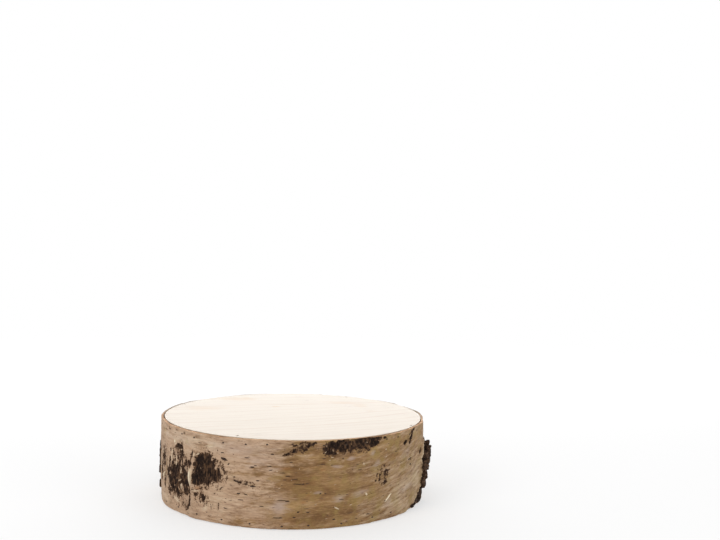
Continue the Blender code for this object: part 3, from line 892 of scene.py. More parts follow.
class SharedEffects:
    """The effects that more than one material uses, each a group that puts out masks."""

    def __init__(self) -> None:
        """Build every group once."""
        self.streaks = self.make_streaks()
        self.blotches = self.make_blotches()
        self.dashes = self.make_dashes()
        self.stain = self.make_stain()

    def make_streaks(self) -> bpy.types.NodeTree:
        """Fine streaks drawn out along X, as fibres are.

        Returns:
            The group.
        """
        group, graph, given, wanted = new_group(
            "fibre_streaks", "Streak", Vector=None, Along=40.0, Across=400.0, Contrast=2.0
        )
        along, across, deep = graph.split(given["Vector"])
        places = graph.join(
            graph.times(along, given["Along"]),
            graph.times(across, given["Across"]),
            graph.times(deep, given["Across"]),
        )
        fine = graph.noise(places, 1.0, 4.0, 0.6)
        graph.feed(wanted, graph.sway(fine, given["Contrast"], 0.5))
        return group

    def make_blotches(self) -> bpy.types.NodeTree:
        """Soft blotches that cover a given share of the surface.

        Returns:
            The group.
        """
        group, graph, given, wanted = new_group(
            "blotches", "Mask", Vector=None, Scale=30.0, Cover=0.4, Softness=0.1
        )
        noise = graph.noise(given["Vector"], given["Scale"], 4.0, 0.6)
        edge = graph.math("SUBTRACT", 0.72, graph.times(given["Cover"], 0.44))
        low = graph.math("SUBTRACT", edge, given["Softness"])
        high = graph.math("ADD", edge, given["Softness"])
        graph.feed(wanted, graph.span(noise, low, high))
        return group

    def make_dashes(self) -> bpy.types.NodeTree:
        """Short scattered dashes drawn out along X.

        Returns:
            The group.
        """
        group, graph, given, wanted = new_group(
            "dashes", "Mask", Vector=None, Along=150.0, Across=700.0, Size=0.2
        )
        along, across, deep = graph.split(given["Vector"])
        places = graph.join(
            graph.times(along, given["Along"]),
            graph.times(across, given["Across"]),
            graph.times(deep, given["Along"]),
        )
        distance = graph.cells(places)
        inner = graph.times(given["Size"], 0.55)
        graph.feed(wanted, graph.span(distance, inner, given["Size"], 1.0, 0.0))
        return group

    def make_stain(self) -> bpy.types.NodeTree:
        """One soft stain at a place, with a wandering edge.

        Returns:
            The group.
        """
        group, graph, given, wanted = new_group(
            "stain", "Mask", Vector=None, Centre=None, Size=None, Wander=0.6
        )
        away = graph.vector("SUBTRACT", given["Vector"], given["Centre"])
        away = graph.vector("DIVIDE", away, given["Size"])
        rough = graph.noise(given["Vector"], 55.0, 4.0, 0.65)
        distance = graph.sway(rough, given["Wander"], graph.vector("LENGTH", away))
        graph.feed(wanted, graph.span(distance, 0.15, 1.15, 1.0, 0.0))
        return group


def new_material(name: str) -> tuple[bpy.types.Material, Graph, bpy.types.Node]:
    """Return a material with its graph and its Principled shader.

    Args:
        name: The material's name.

    Returns:
        The three.
    """
    material = bpy.data.materials.new(name)
    material.use_nodes = True
    return material, Graph(material.node_tree), material.node_tree.nodes["Principled BSDF"]


def add_bump(
    graph: Graph, shader: bpy.types.Node, height: object, distance: float, strength: float = 1.0
) -> None:
    """Give a shader a relief of a height from 0 to 1, a depth in metres and a share that shows."""
    bump = graph.give(graph.add("ShaderNodeBump"), Distance=distance, Strength=strength, Height=height)
    graph.give(shader, Normal=bump.outputs["Normal"])


@dataclass(frozen=True)
class BarkFinish:
    """Weathered birch bark: a pale film over ochre inner bark, with dark cork where it broke."""

    beige: Colour = paint(180, 150, 123)
    grey: Colour = paint(166, 137, 112)
    light: Colour = paint(194, 166, 139)
    old_beige: Colour = paint(162, 132, 101)
    old_grey: Colour = paint(140, 119, 98)
    old_light: Colour = paint(182, 156, 128)
    ochre: Colour = paint(138, 105, 69)
    dark_ochre: Colour = paint(106, 75, 45)
    light_ochre: Colour = paint(168, 135, 92)
    olive: Colour = paint(146, 121, 72)
    rust: Colour = paint(140, 92, 48)
    # Brown of the stains, also used for a painted shadow under the black strip.
    stain_and_shadow: Colour = paint(88, 61, 38)
    lavender: Colour = paint(174, 152, 138)
    lichen: Colour = paint(172, 156, 96)
    pale: Colour = paint(203, 181, 153)
    cork: Colour = paint(54, 38, 28)
    light_cork: Colour = paint(108, 80, 57)
    crack: Colour = paint(30, 20, 15)
    cut_light: Colour = paint(236, 198, 160)
    cut_dark: Colour = paint(188, 132, 90)
    # Painted shade: the grey brown of the cut rim and inner face on the drum's far side.
    far_cut_shade: Colour = paint(148, 134, 116)
    roughness: float = 0.66
    cork_roughness: float = 0.92
    specular: float = 0.16
    relief: float = 0.0003

    def build(self, effects: SharedEffects) -> bpy.types.Material:
        """Make the bark's material.

        Args:
            effects: The shared groups.

        Returns:
            The material, which reads the masks that the bark's mesh carries.
        """
        material, graph, shader = new_material("birch_bark")
        places = graph.places("unrolled")
        fine = graph.use(effects.streaks, Vector=places, Along=150.0, Across=820.0, Contrast=2.6)
        mid = graph.use(effects.streaks, Vector=places, Along=46.0, Across=250.0, Contrast=2.6)
        broad = graph.use(effects.streaks, Vector=places, Along=18.0, Across=70.0, Contrast=2.4)
        film = self.film_colour(graph, mid)
        inner = graph.ramp(broad, ((0.1, self.dark_ochre), (0.5, self.ochre), (0.95, self.light_ochre)))
        inner = graph.blend(graph.span(fine, 0.55, 0.95, 0.0, 0.6), inner, self.light_ochre)
        inner = graph.blend(graph.span(mid, 0.45, 0.1, 0.0, 0.5), inner, self.dark_ochre)
        edge = graph.sway(fine, 0.3, graph.mask("skin"))
        edge = graph.sway(mid, 0.3, edge)
        colour = graph.blend(graph.span(edge, 0.12, 0.84), inner, film)
        spots = graph.use(effects.blotches, Vector=places, Scale=70.0, Cover=0.42, Softness=0.1)
        old = graph.math("SUBTRACT", 0.75, graph.mask("fresh"), clamp=True)
        colour = graph.blend(graph.times(spots, old), colour, self.olive)
        specks = graph.use(effects.dashes, Vector=places, Along=330.0, Across=900.0, Size=0.34)
        patchy = graph.use(effects.blotches, Vector=places, Scale=45.0, Cover=0.45, Softness=0.06)
        speck_share = graph.times(graph.times(specks, patchy), 0.5)
        colour = graph.blend(speck_share, colour, self.dark_ochre)
        for mask, stain, grain, most in (
            ("lavender", self.lavender, mid, 0.8),
            ("rust", self.rust, mid, 0.6),
            # Brown stains, and the painted shadow under the black strip.
            ("stain_and_shadow", self.stain_and_shadow, mid, 0.55),
            ("lichen", self.lichen, fine, 0.55),
            ("pale", self.pale, mid, 0.8),
        ):
            colour = self.lay(graph, colour, mask, stain, grain, most)
        colour = graph.blend(1.0, colour, graph.ramp(fine, self.greys(0.86, 1.06)), "MULTIPLY")
        cork, cork_cover = self.cork_colour(graph, places, fine)
        colour = graph.blend(cork_cover, colour, cork)
        layers = graph.use(effects.streaks, Vector=places, Along=60.0, Across=1500.0, Contrast=2.6)
        edge_colour = graph.ramp(layers, ((0.1, self.cut_dark), (0.75, self.cut_light)))
        edge_colour = graph.blend(graph.times(patchy, 0.5), edge_colour, self.rust)
        # Painted shade: the cut rim and inner face turn grey brown towards the drum's far side.
        rearward = graph.split(graph.object_places())[1]
        far_shade = graph.span(rearward, -0.04, 0.03, 0.0, 0.85)
        edge_colour = graph.blend(far_shade, edge_colour, self.far_cut_shade)
        colour = graph.blend(graph.span(graph.mask("cut"), 0.35, 0.65), colour, edge_colour)
        roughness = graph.span(cork_cover, 0.0, 1.0, self.roughness, self.cork_roughness)
        graph.give(shader, Base_Color=colour, Roughness=roughness, Specular_IOR_Level=self.specular)
        height = graph.times_plus(mid, 0.5, fine)
        height = graph.times_plus(graph.noise(places, 1100.0, 3.0), 1.2, height)
        add_bump(graph, shader, height, self.relief, 0.7)
        return material

    def film_colour(self, graph: Graph, mid: object) -> Socket:
        """Return the pale film's colour: pinkish where it is fresh and tan where it is old.

        Args:
            graph: The material's graph.
            mid: Streaks of middle size.

        Returns:
            The colour.
        """
        fresh = graph.ramp(mid, ((0.05, self.grey), (0.5, self.beige), (0.95, self.light)))
        old = graph.ramp(mid, ((0.05, self.old_grey), (0.5, self.old_beige), (0.95, self.old_light)))
        return graph.blend(graph.span(graph.mask("fresh"), 0.2, 0.8), old, fresh)

    def greys(self, low: float, high: float) -> tuple[tuple[float, Colour], ...]:
        """Return the stops of a grey ramp from low to high."""
        return ((0.1, (low, low, low, 1.0)), (0.8, (high, high, high, 1.0)))

    def lay(
        self, graph: Graph, under: object, mask: str, colour: Colour, grain: object, most: float
    ) -> Socket:
        """Lay one stain over the colour, broken up by the grain.

        Args:
            graph: The material's graph.
            under: The colour so far.
            mask: Name of the mask that the mesh carries.
            colour: The stain.
            grain: Streaks that break it up.
            most: The most that it covers.

        Returns:
            The colour with the stain on it.
        """
        broken = graph.sway(grain, 0.4, graph.mask(mask))
        share = graph.span(broken, 0.1, 0.95, 0.0, most)
        present = graph.span(graph.mask(mask), 0.0, 0.15)
        return graph.blend(graph.times(share, present), under, colour)

    def cork_colour(self, graph: Graph, places: object, fine: object) -> tuple[Socket, Socket]:
        """Return the cork's colour and how far it covers.

        Args:
            graph: The material's graph.
            places: Places on the surface.
            fine: Fine streaks.

        Returns:
            The two.
        """
        grain = graph.noise(places, 620.0, 4.0, 0.7)
        depth = graph.sway(grain, 1.3, graph.mask("cork"))
        tone = graph.ramp(
            depth,
            ((0.3, self.light_cork), (0.6, self.cork), (0.8, self.cork), (1.0, self.crack)),
        )
        tone = graph.blend(graph.times(graph.mask("crest"), 0.55), tone, self.light_cork)
        tone = graph.blend(graph.times(graph.mask("crack"), 0.8), tone, self.crack)
        edge = graph.sway(fine, 0.2, depth)
        return tone, graph.span(edge, 0.26, 0.5)


@dataclass
class BarkWrap:
    """The one long sheet of bark round the drum, with every mark that its face carries."""

    front_step: float = 0.66
    back_step: float = 1.3
    front_start: float = 185.0
    rows: int = 88
    inner_rows: int = 4
    rim_rounding: float = 0.3
    seed: int = 7
    rim_wear: float = 0.4
    rim_chip: float = 0.5
    # Heights and depths of the face's fine relief.
    broad_relief: float = 1.1
    streak_relief: float = 0.35
    film_rise: float = 0.28
    ridge_rise: float = 1.5
    cork_depth: float = 0.25
    crack_depth: float = 1.15
    pale_rise: float = 0.4
    lip_rise: float = 0.9
    foot_depth: float = 1.7
    least: float = 0.8
    # Where the bark is worn at its foot: middle, half width, and the heights where it fades.
    foot_angle: float = 188.0
    foot_half_width: float = 15.0
    foot_fade: tuple[float, float] = (6.0, 32.0)

    # How steeply the bark's streaks climb to the right, by angle.
    FLOW_ANGLES = (-12.0, 20.0, 60.0, 110.0, 150.0, 255.0, 290.0, 302.0, 312.0, 332.0, 346.0)
    FLOW_SLOPES = (0.1, -0.1, 0.14, -0.06, 0.0, 0.0, 0.05, 0.13, 0.19, 0.14, 0.06)
    # How much of the pale film is left, and how fresh and pinkish it is, by angle.
    COVER_ANGLES = (-12.0, 30.0, 80.0, 130.0, 185.0, 205.0, 250.0, 262.0, 270.0, 292.0, 312.0, 346.0)
    COVERS = (0.55, 0.7, 0.5, 0.6, 0.72, 0.84, 0.8, 0.62, 0.42, 0.36, 0.5, 0.6)
    FRESH = (0.1, 0.4, 0.2, 0.6, 0.8, 1.0, 0.85, 0.6, 0.35, 0.1, 0.05, 0.1)
    # The masks that the mesh carries for the bark's material.
    CARRIED = (
        "cork", "stain_and_shadow", "lavender", "rust", "pale", "lichen", "skin", "fresh", "crack", "crest"
    )

    def __post_init__(self) -> None:
        """Lay out the grid and work out the face once, because other pieces stand on it."""
        self.form = BarkForm()
        self.broken_edge = BrokenEdge()
        self.noise = Noise(self.seed)
        self.grain = Noise(self.seed + 1)
        self.angles = self.lay_out_columns()
        slope = np.interp(self.angles, self.FLOW_ANGLES, self.FLOW_SLOPES)
        steps = np.diff(arc(self.angles), prepend=arc(self.angles[0]))
        self.climb = np.cumsum(slope * steps)
        self.low, self.high = self.worn_rims()
        share = np.linspace(0.0, 1.0, self.rows + 1)
        clear_low = (self.low + self.rim_rounding)[:, None]
        clear_high = (self.high - self.rim_rounding)[:, None]
        self.heights = clear_low + share[None, :] * (clear_high - clear_low)
        self.masks = self.paint_masks()
        self.inner = self.form.inner_radius(self.angles[:, None], self.heights)
        self.outer = self.inner + self.thickness()

    def lay_out_columns(self) -> Array:
        """Return the columns' angles: close together in front and wider apart behind.

        Returns:
            The angles.
        """
        back_length = float(arc(self.front_start - self.form.BACK_END))
        front_length = float(arc(self.form.FRONT_END - self.front_start))
        back_count = round(back_length / self.back_step)
        front_count = round(front_length / self.front_step)
        back = np.linspace(self.form.BACK_END, self.front_start, back_count, endpoint=False)
        front = np.linspace(self.front_start, self.form.FRONT_END, front_count + 1)
        return np.concatenate((back, front))

    def worn_rims(self) -> tuple[Array, Array]:
        """Return the heights of both rims, chipped a little more where the cork is bare.

        Returns:
            The heights of the lower and of the upper rim.
        """
        low, high = self.form.rims(self.angles)
        along = arc(self.angles)
        wear = 0.5 * self.noise.layered(along / 3.1, along * 0.0 + 3.5)
        chipped = span(self.noise.layered(along / 9.0, along * 0.0 + 40.5), 0.52, 0.75)
        worn, chip = self.rim_wear * wear, self.rim_chip * chipped
        return low + worn + chip, high - worn - chip

    def cover_of(self, kind: Kind, along: Array, height: Array, rough: Array) -> Array:
        """Return the strongest cover of all patches of a kind.

        Args:
            kind: The kind.
            along: Lengths along the bark.
            height: Heights.
            rough: Noise that tears the edge.

        Returns:
            The cover, 0 to 1.
        """
        cover = np.zeros(along.shape)
        for mark in PATCHES[kind] + (FISSURES if kind is Kind.CORK else ()):
            cover = np.maximum(cover, mark.cover(along, height, rough))
        return cover

    def paint_masks(self) -> dict[str, Array]:
        """Work out every mask at every point of the outer face.

        Returns:
            The masks by name, each with a row of heights for every column.
        """
        angle = np.broadcast_to(self.angles[:, None], self.heights.shape)
        along, height = arc(angle), self.heights
        level = height - self.climb[:, None]
        rough = self.noise.layered(along / 4.2, height / 3.4, 4, 0.6) - 0.5
        streaky = self.noise.layered(along / 9.0 + 50.0, level / 2.2, 4, 0.65) - 0.5
        masks = {
            kind.value: self.cover_of(kind, along, height, rough if kind is Kind.CORK else streaky)
            for kind in Kind
        }
        beyond = self.broken_edge.beyond(angle, height, rough)
        masks["cork"] = np.maximum(masks["cork"], span(beyond, -0.8, 1.4))
        masks["cork"] = np.clip(masks["cork"] - 0.9 * span(masks["pale"], 0.55, 0.9), 0.0, 1.0)
        film = np.interp(angle, self.COVER_ANGLES, self.COVERS)
        film = film + 0.9 * (self.noise.layered(along / 17.0, level / 5.0, 4, 0.6) - 0.5)
        film = film + 0.5 * (self.grain.layered(along / 6.0, level / 1.5, 3, 0.6) - 0.5)
        masks["skin"] = np.clip(film - masks.pop("bare"), 0.0, 1.0)
        fresh = np.interp(angle, self.COVER_ANGLES, self.FRESH)
        uneven = self.grain.layered(along / 30.0, level / 12.0) - 0.5
        masks["fresh"] = np.clip(fresh + 0.9 * uneven, 0.0, 1.0)
        cork = span(masks["cork"], 0.35, 0.65)
        upright = self.noise.layered(along / 1.6 + 0.8 * rough, height / 4.4, 3, 0.6)
        blocky = self.grain.layered(along / 2.6, height / 2.2, 3, 0.6)
        standing = np.interp(angle, (100.0, 130.0, 244.0, 252.0), (0.4, 1.0, 1.0, 0.0))
        fibre = standing * upright + (1.0 - standing) * blocky
        broken = 0.6 * (0.5 - fibre) * span(masks["cork"], 0.02, 0.4)
        masks["cork"] = np.clip(masks["cork"] + broken, 0.0, 1.0)
        plates = self.grain.plates(along / 4.2 + 0.35 * rough, height / 7.0 + 0.8 * rough)
        masks["crack"] = cork * (1.0 - span(plates, 0.02, 0.2)) * span(rough + 0.5, 0.35, 0.6)
        masks["ridge"] = self.grain.ridged(along / 2.4, height / 5.0)
        masks["crest"] = cork * span(fibre, 0.52, 0.68)
        masks["torn_lip"] = span(beyond, -4.0, -1.2) * (1.0 - span(beyond, -1.2, -0.2))
        masks["pale"] = np.maximum(masks["pale"], 0.8 * masks["torn_lip"])
        return masks

    def thickness(self) -> Array:
        """Return the sheet's thickness with its fine relief, at every point of the face.

        Returns:
            The thicknesses.
        """
        angle = np.broadcast_to(self.angles[:, None], self.heights.shape)
        along, height = arc(angle), self.heights
        masks = self.masks
        cork = span(masks["cork"], 0.35, 0.6)
        broad = self.noise.layered(along / 26.0, height / 15.0) - 0.5
        streaks = self.noise.layered(along / 10.0 + 80.0, height / 1.7) - 0.5
        relief = self.broad_relief * broad
        relief = relief + self.streak_relief * streaks
        relief = relief + self.film_rise * span(masks["skin"], 0.42, 0.56) * (1.0 - cork)
        relief = relief + cork * (self.ridge_rise * (masks["ridge"] - 0.62) - self.cork_depth)
        relief = relief - self.crack_depth * masks["crack"]
        relief = relief + self.pale_rise * masks["pale"] * (1.0 - cork)
        relief = relief + self.lip_rise * masks["torn_lip"]
        worn_foot = bell(turn_between(angle, self.foot_angle), self.foot_half_width)
        relief = relief - self.foot_depth * (worn_foot * (1.0 - span(height, *self.foot_fade)))
        plain = self.form.thickness(angle, height)
        rough = self.grain.ridged(along / 5.0, height / 6.0) - 0.55
        swell = np.maximum(0.0, plain - 4.0) * 1.3 * rough
        return np.clip(plain + relief + swell, self.least, self.form.MOST + 0.6)

    def surface(self, angle: Array, height: Array) -> Array:
        """Return the radius of the outer face at places anywhere on it.

        Args:
            angle: Angles of the places.
            height: Their heights.

        Returns:
            The radius at each place.
        """
        angle = np.clip(angle, self.angles[0], self.angles[-1])
        column = np.interp(angle, self.angles, np.arange(len(self.angles)))
        left = np.minimum(column.astype(int), len(self.angles) - 2)
        across = column - left
        bottom = self.heights[left, 0]
        share = np.clip((height - bottom) / (self.heights[left, -1] - bottom), 0.0, 1.0)
        row = share * self.rows
        low = np.minimum(row.astype(int), self.rows - 1)
        up = row - low
        at_low = self.outer[left, low] * (1 - across) + self.outer[left + 1, low] * across
        at_high = self.outer[left, low + 1] * (1 - across) + self.outer[left + 1, low + 1] * across
        return at_low * (1 - up) + at_high * up

    def ring_points(self) -> tuple[Array, Array, Array]:
        """Lay out each column's closed ring: up the face, over the rim and down the inside.

        Returns:
            Radius, height and share of cut edge, each with one row for a column.
        """
        count = self.inner_rows + 1
        share = np.linspace(1.0, 0.0, count)[None, :]
        rounding = self.rim_rounding
        bottom, top = (self.low + rounding)[:, None], (self.high - rounding)[:, None]
        inside_height = bottom * (1 - share) + top * share
        inside_radius = self.form.inner_radius(self.angles[:, None], inside_height)
        thick_top = (self.outer[:, -1] - inside_radius[:, 0])[:, None]
        thick_low = (self.outer[:, 0] - inside_radius[:, -1])[:, None]
        along = arc(self.angles)
        fray = (self.grain.layered(along / 1.9, along * 0.0 + 11.5) - 0.5)[:, None]
        top_radius = self.outer[:, -1:] - thick_top * np.array([[0.1, 0.45, 0.9]])
        top_height = self.high[:, None] + np.concatenate((fray * 0.3, fray * 0.8, fray * 0.3), axis=1)
        low_radius = self.outer[:, :1] - thick_low * np.array([[0.9, 0.5, 0.1]])
        low_height = self.low[:, None] + np.zeros((1, 3))
        radius = np.concatenate((self.outer, top_radius, inside_radius, low_radius), axis=1)
        height = np.concatenate((self.heights, top_height, inside_height, low_height), axis=1)
        cut = np.ones(radius.shape)
        cut[:, : self.rows + 1] = 0.0
        return radius, height, cut

    def carry(self, name: str, ring_length: int) -> Array:
        """Return a mask for every point of the rings, repeated over the rims from the face.

        Args:
            name: The mask's name.
            ring_length: Points in one ring round the section.

        Returns:
            The values, one for each point of the mesh.
        """
        face = self.masks[name]
        rest = ring_length - face.shape[1]
        top = np.repeat(face[:, -1:], rest // 2, axis=1)
        low = np.repeat(face[:, :1], rest - rest // 2, axis=1)
        return np.concatenate((face, top, low), axis=1)

    def build(self, material: bpy.types.Material) -> bpy.types.Object:
        """Make the sheet's mesh.

        Args:
            material: The bark's material.

        Returns:
            The sheet.
        """
        radius, height, cut = self.ring_points()
        columns, ring = radius.shape
        turn = np.radians(self.angles[:, None] + self.torn_shift(height))
        points = np.stack((radius * np.cos(turn), radius * np.sin(turn), height), axis=-1) * MM
        first = np.arange(columns - 1)[:, None] * ring
        here = np.arange(ring)[None, :]
        after = (here + 1) % ring
        corners = (first + here, first + ring + here, first + ring + after, first + after)
        quads = np.stack(corners, axis=-1)
        faces = quads.reshape(-1, 4).tolist()
        faces.append(list(range(ring)))
        faces.append([(columns - 1) * ring + place for place in range(ring - 1, -1, -1)])
        sheet = new_piece("bark_sheet", points.reshape(-1, 3).tolist(), faces, material)
        self.close_ends(sheet.data)
        for name in self.CARRIED:
            carry_mask(sheet.data, name, self.carry(name, ring).ravel())
        carry_mask(sheet.data, "cut", cut.ravel())
        depth = self.outer.max(axis=1, keepdims=True) - radius
        along = np.broadcast_to(arc(self.angles)[:, None], radius.shape)
        unrolled = np.stack((along, height - self.climb[:, None], depth * cut), axis=-1) * MM
        attribute = sheet.data.attributes.new("unrolled", "FLOAT_VECTOR", "POINT")
        attribute.data.foreach_set("vector", unrolled.astype(np.float32).ravel())
        return sheet

    def torn_shift(self, height: Array) -> Array:
        """Return how far, in degrees, points near both ends move to make the ends uneven.

        Args:
            height: Heights of the points.

        Returns:
            The shifts.
        """
        front = span(self.angles, self.form.FRONT_END - 5.0, self.form.FRONT_END)[:, None]
        back = 1.0 - span(self.angles, self.form.BACK_END, self.form.BACK_END + 4.0)[:, None]
        front_tear = self.noise.layered(height / 7.0, height * 0.0 + 3.5, 4, 0.65) - 0.6
        back_tear = self.noise.layered(height / 8.0, height * 0.0 + 9.5, 4, 0.65) - 0.35
        return 1.8 * front * front_tear + 1.4 * back * back_tear

    def close_ends(self, mesh: bpy.types.Mesh) -> None:
        """Split the sheet's two end faces into triangles.

        Args:
            mesh: The sheet's mesh.
        """
        shape = bmesh.new()
        shape.from_mesh(mesh)
        ends = [face for face in shape.faces if len(face.verts) > 4]
        bmesh.ops.triangulate(shape, faces=ends, ngon_method="EAR_CLIP")
        shape.to_mesh(mesh)
        shape.free()


def carry_mask(mesh: bpy.types.Mesh, name: str, values: Array) -> None:
    """Store one number for every point of a mesh."""
    attribute = mesh.attributes.new(name, "FLOAT", "POINT")
    attribute.data.foreach_set("value", np.asarray(values, dtype=np.float32))


def new_piece(name: str, points: list, faces: list, material: bpy.types.Material) -> bpy.types.Object:
    """Make a mesh object in the scene.

    Args:
        name: The piece's name.
        points: Its points, in metres.
        faces: Its faces, as lists of point numbers.
        material: Its finish.

    Returns:
        The object, shaded smooth with its sharp edges kept.
    """
    mesh = bpy.data.meshes.new(name)
    mesh.from_pydata(points, [], faces)
    mesh.materials.append(material)
    mesh.shade_smooth()
    mesh.set_sharp_from_angle(angle=math.radians(SHARP_ANGLE))
    thing = bpy.data.objects.new(name, mesh)
    bpy.context.scene.collection.objects.link(thing)
    return thing


class SurfacePieces:
    """Gathers many small closed shapes that stand on the bark into one mesh."""

    def __init__(self, bark: BarkWrap) -> None:
        """Start empty.

        Args:
            bark: The bark that the shapes stand on.
        """
        self.bark = bark
        self.points: list[tuple[float, float, float]] = []
        self.faces: list[tuple[int, ...]] = []
        self.tones: list[float] = []

    def place(self, angle: float, height: float, along: Array, up: Array, rise: Array) -> list:
        """Return frame points for places measured from a spot on the bark.

        Args:
            angle: The spot's angle.
            height: The spot's height.
            along: Lengths along the bark from the spot.
            up: Heights above the spot.
            rise: Heights above the bark's face.

        Returns:
            The points, in metres.
        """
        angles = angle + np.degrees(along / ARC_RADIUS)
        heights = height + up
        radius = self.bark.surface(angles, heights) + rise
        turn = np.radians(angles)
        points = np.stack((radius * np.cos(turn), radius * np.sin(turn), heights), axis=-1)
        return (points * MM).tolist()

    def add_mound(
        self,
        angle: float,
        height: float,
        outline: Array,
        rises: tuple[float, ...],
        sunk: float,
        lean: float,
        tone: float,
    ) -> None:
        """Add a low closed mound, such as a brad's head, a lenticel or a flake.

        Args:
            angle: Its middle's angle.
            height: Its middle's height.
            outline: Its outline as pairs of along and up, anticlockwise as seen from outside.
            rises: Heights of its rings above the bark, from the outline to near the middle.
            sunk: How far its underside is below the bark's face.
            lean: How much one end is lifted above the other.
            tone: Its own shade of the finish, from 0 to 1.
        """
        sides = len(outline)
        start = len(self.points)
        reach = max(float(np.abs(outline[:, 0]).max()), 0.01)
        rings = [(1.0, -sunk)]
        for number, rise in enumerate(rises):
            rings.append((1.0 - 0.8 * (number / max(1, len(rises))) ** 1.2, rise))
        for share, rise in rings:
            ring = outline * share
            tipped = rise + (lean * ring[:, 0] / reach if rise > 0 else 0.0)
            self.points += self.place(angle, height, ring[:, 0], ring[:, 1], tipped + np.zeros(sides))
        middle = np.zeros(1)
        top, under = start + sides * len(rings), start + sides * len(rings) + 1
        self.points += self.place(angle, height, middle, middle, middle + rises[-1] * 1.02)
        self.points += self.place(angle, height, middle, middle, middle - sunk)
        for number in range(len(rings) - 1):
            base = start + number * sides
            for side in range(sides):
                after = (side + 1) % sides
                above, beside = base + sides + side, base + sides + after
                self.faces.append((base + side, base + after, beside, above))
        last = start + (len(rings) - 1) * sides
        for side in range(sides):
            after = (side + 1) % sides
            self.faces.append((last + side, last + after, top))
            self.faces.append((start + after, start + side, under))
        self.tones += [tone] * (len(self.points) - start)

    def finish(self, name: str, material: bpy.types.Material) -> bpy.types.Object:
        """Make the mesh, which rides on the drum.

        Args:
            name: The piece's name.
            material: Its finish, which may read each shape's own tone.

        Returns:
            The piece.
        """
        piece = new_piece(name, self.points, self.faces, material)
        carry_mask(piece.data, "tone", np.array(self.tones))
        return piece


def oval(
    wide: float, tall: float, sides: int, draw: np.random.Generator, ragged: float, tilt: float = 0.0
) -> Array:
    """Return an oval outline with an uneven edge.

    Args:
        wide: Half its length.
        tall: Half its height.
        sides: Number of points.
        draw: The draw that makes it uneven.
        ragged: How uneven it is, as a share of its size.
        tilt: Lift of its right end, in degrees.

    Returns:
        The outline as pairs of along and up.
    """
    turn = np.linspace(0.0, 2.0 * np.pi, sides, endpoint=False)
    uneven = 1.0 + ragged * (draw.random(sides) - 0.5)
    along, up = wide * np.cos(turn) * uneven, tall * np.sin(turn) * uneven
    lean = math.radians(tilt)
    leaned_along = along * math.cos(lean) - up * math.sin(lean)
    leaned_up = along * math.sin(lean) + up * math.cos(lean)
    return np.stack((leaned_along, leaned_up), -1)


@dataclass(frozen=True)
class Dash:
    """A lenticel that the photo shows: angle, height, half length, half height, tilt."""

    angle: float
    height: float
    wide: float
    tall: float = 0.5
    tilt: float = 0.0


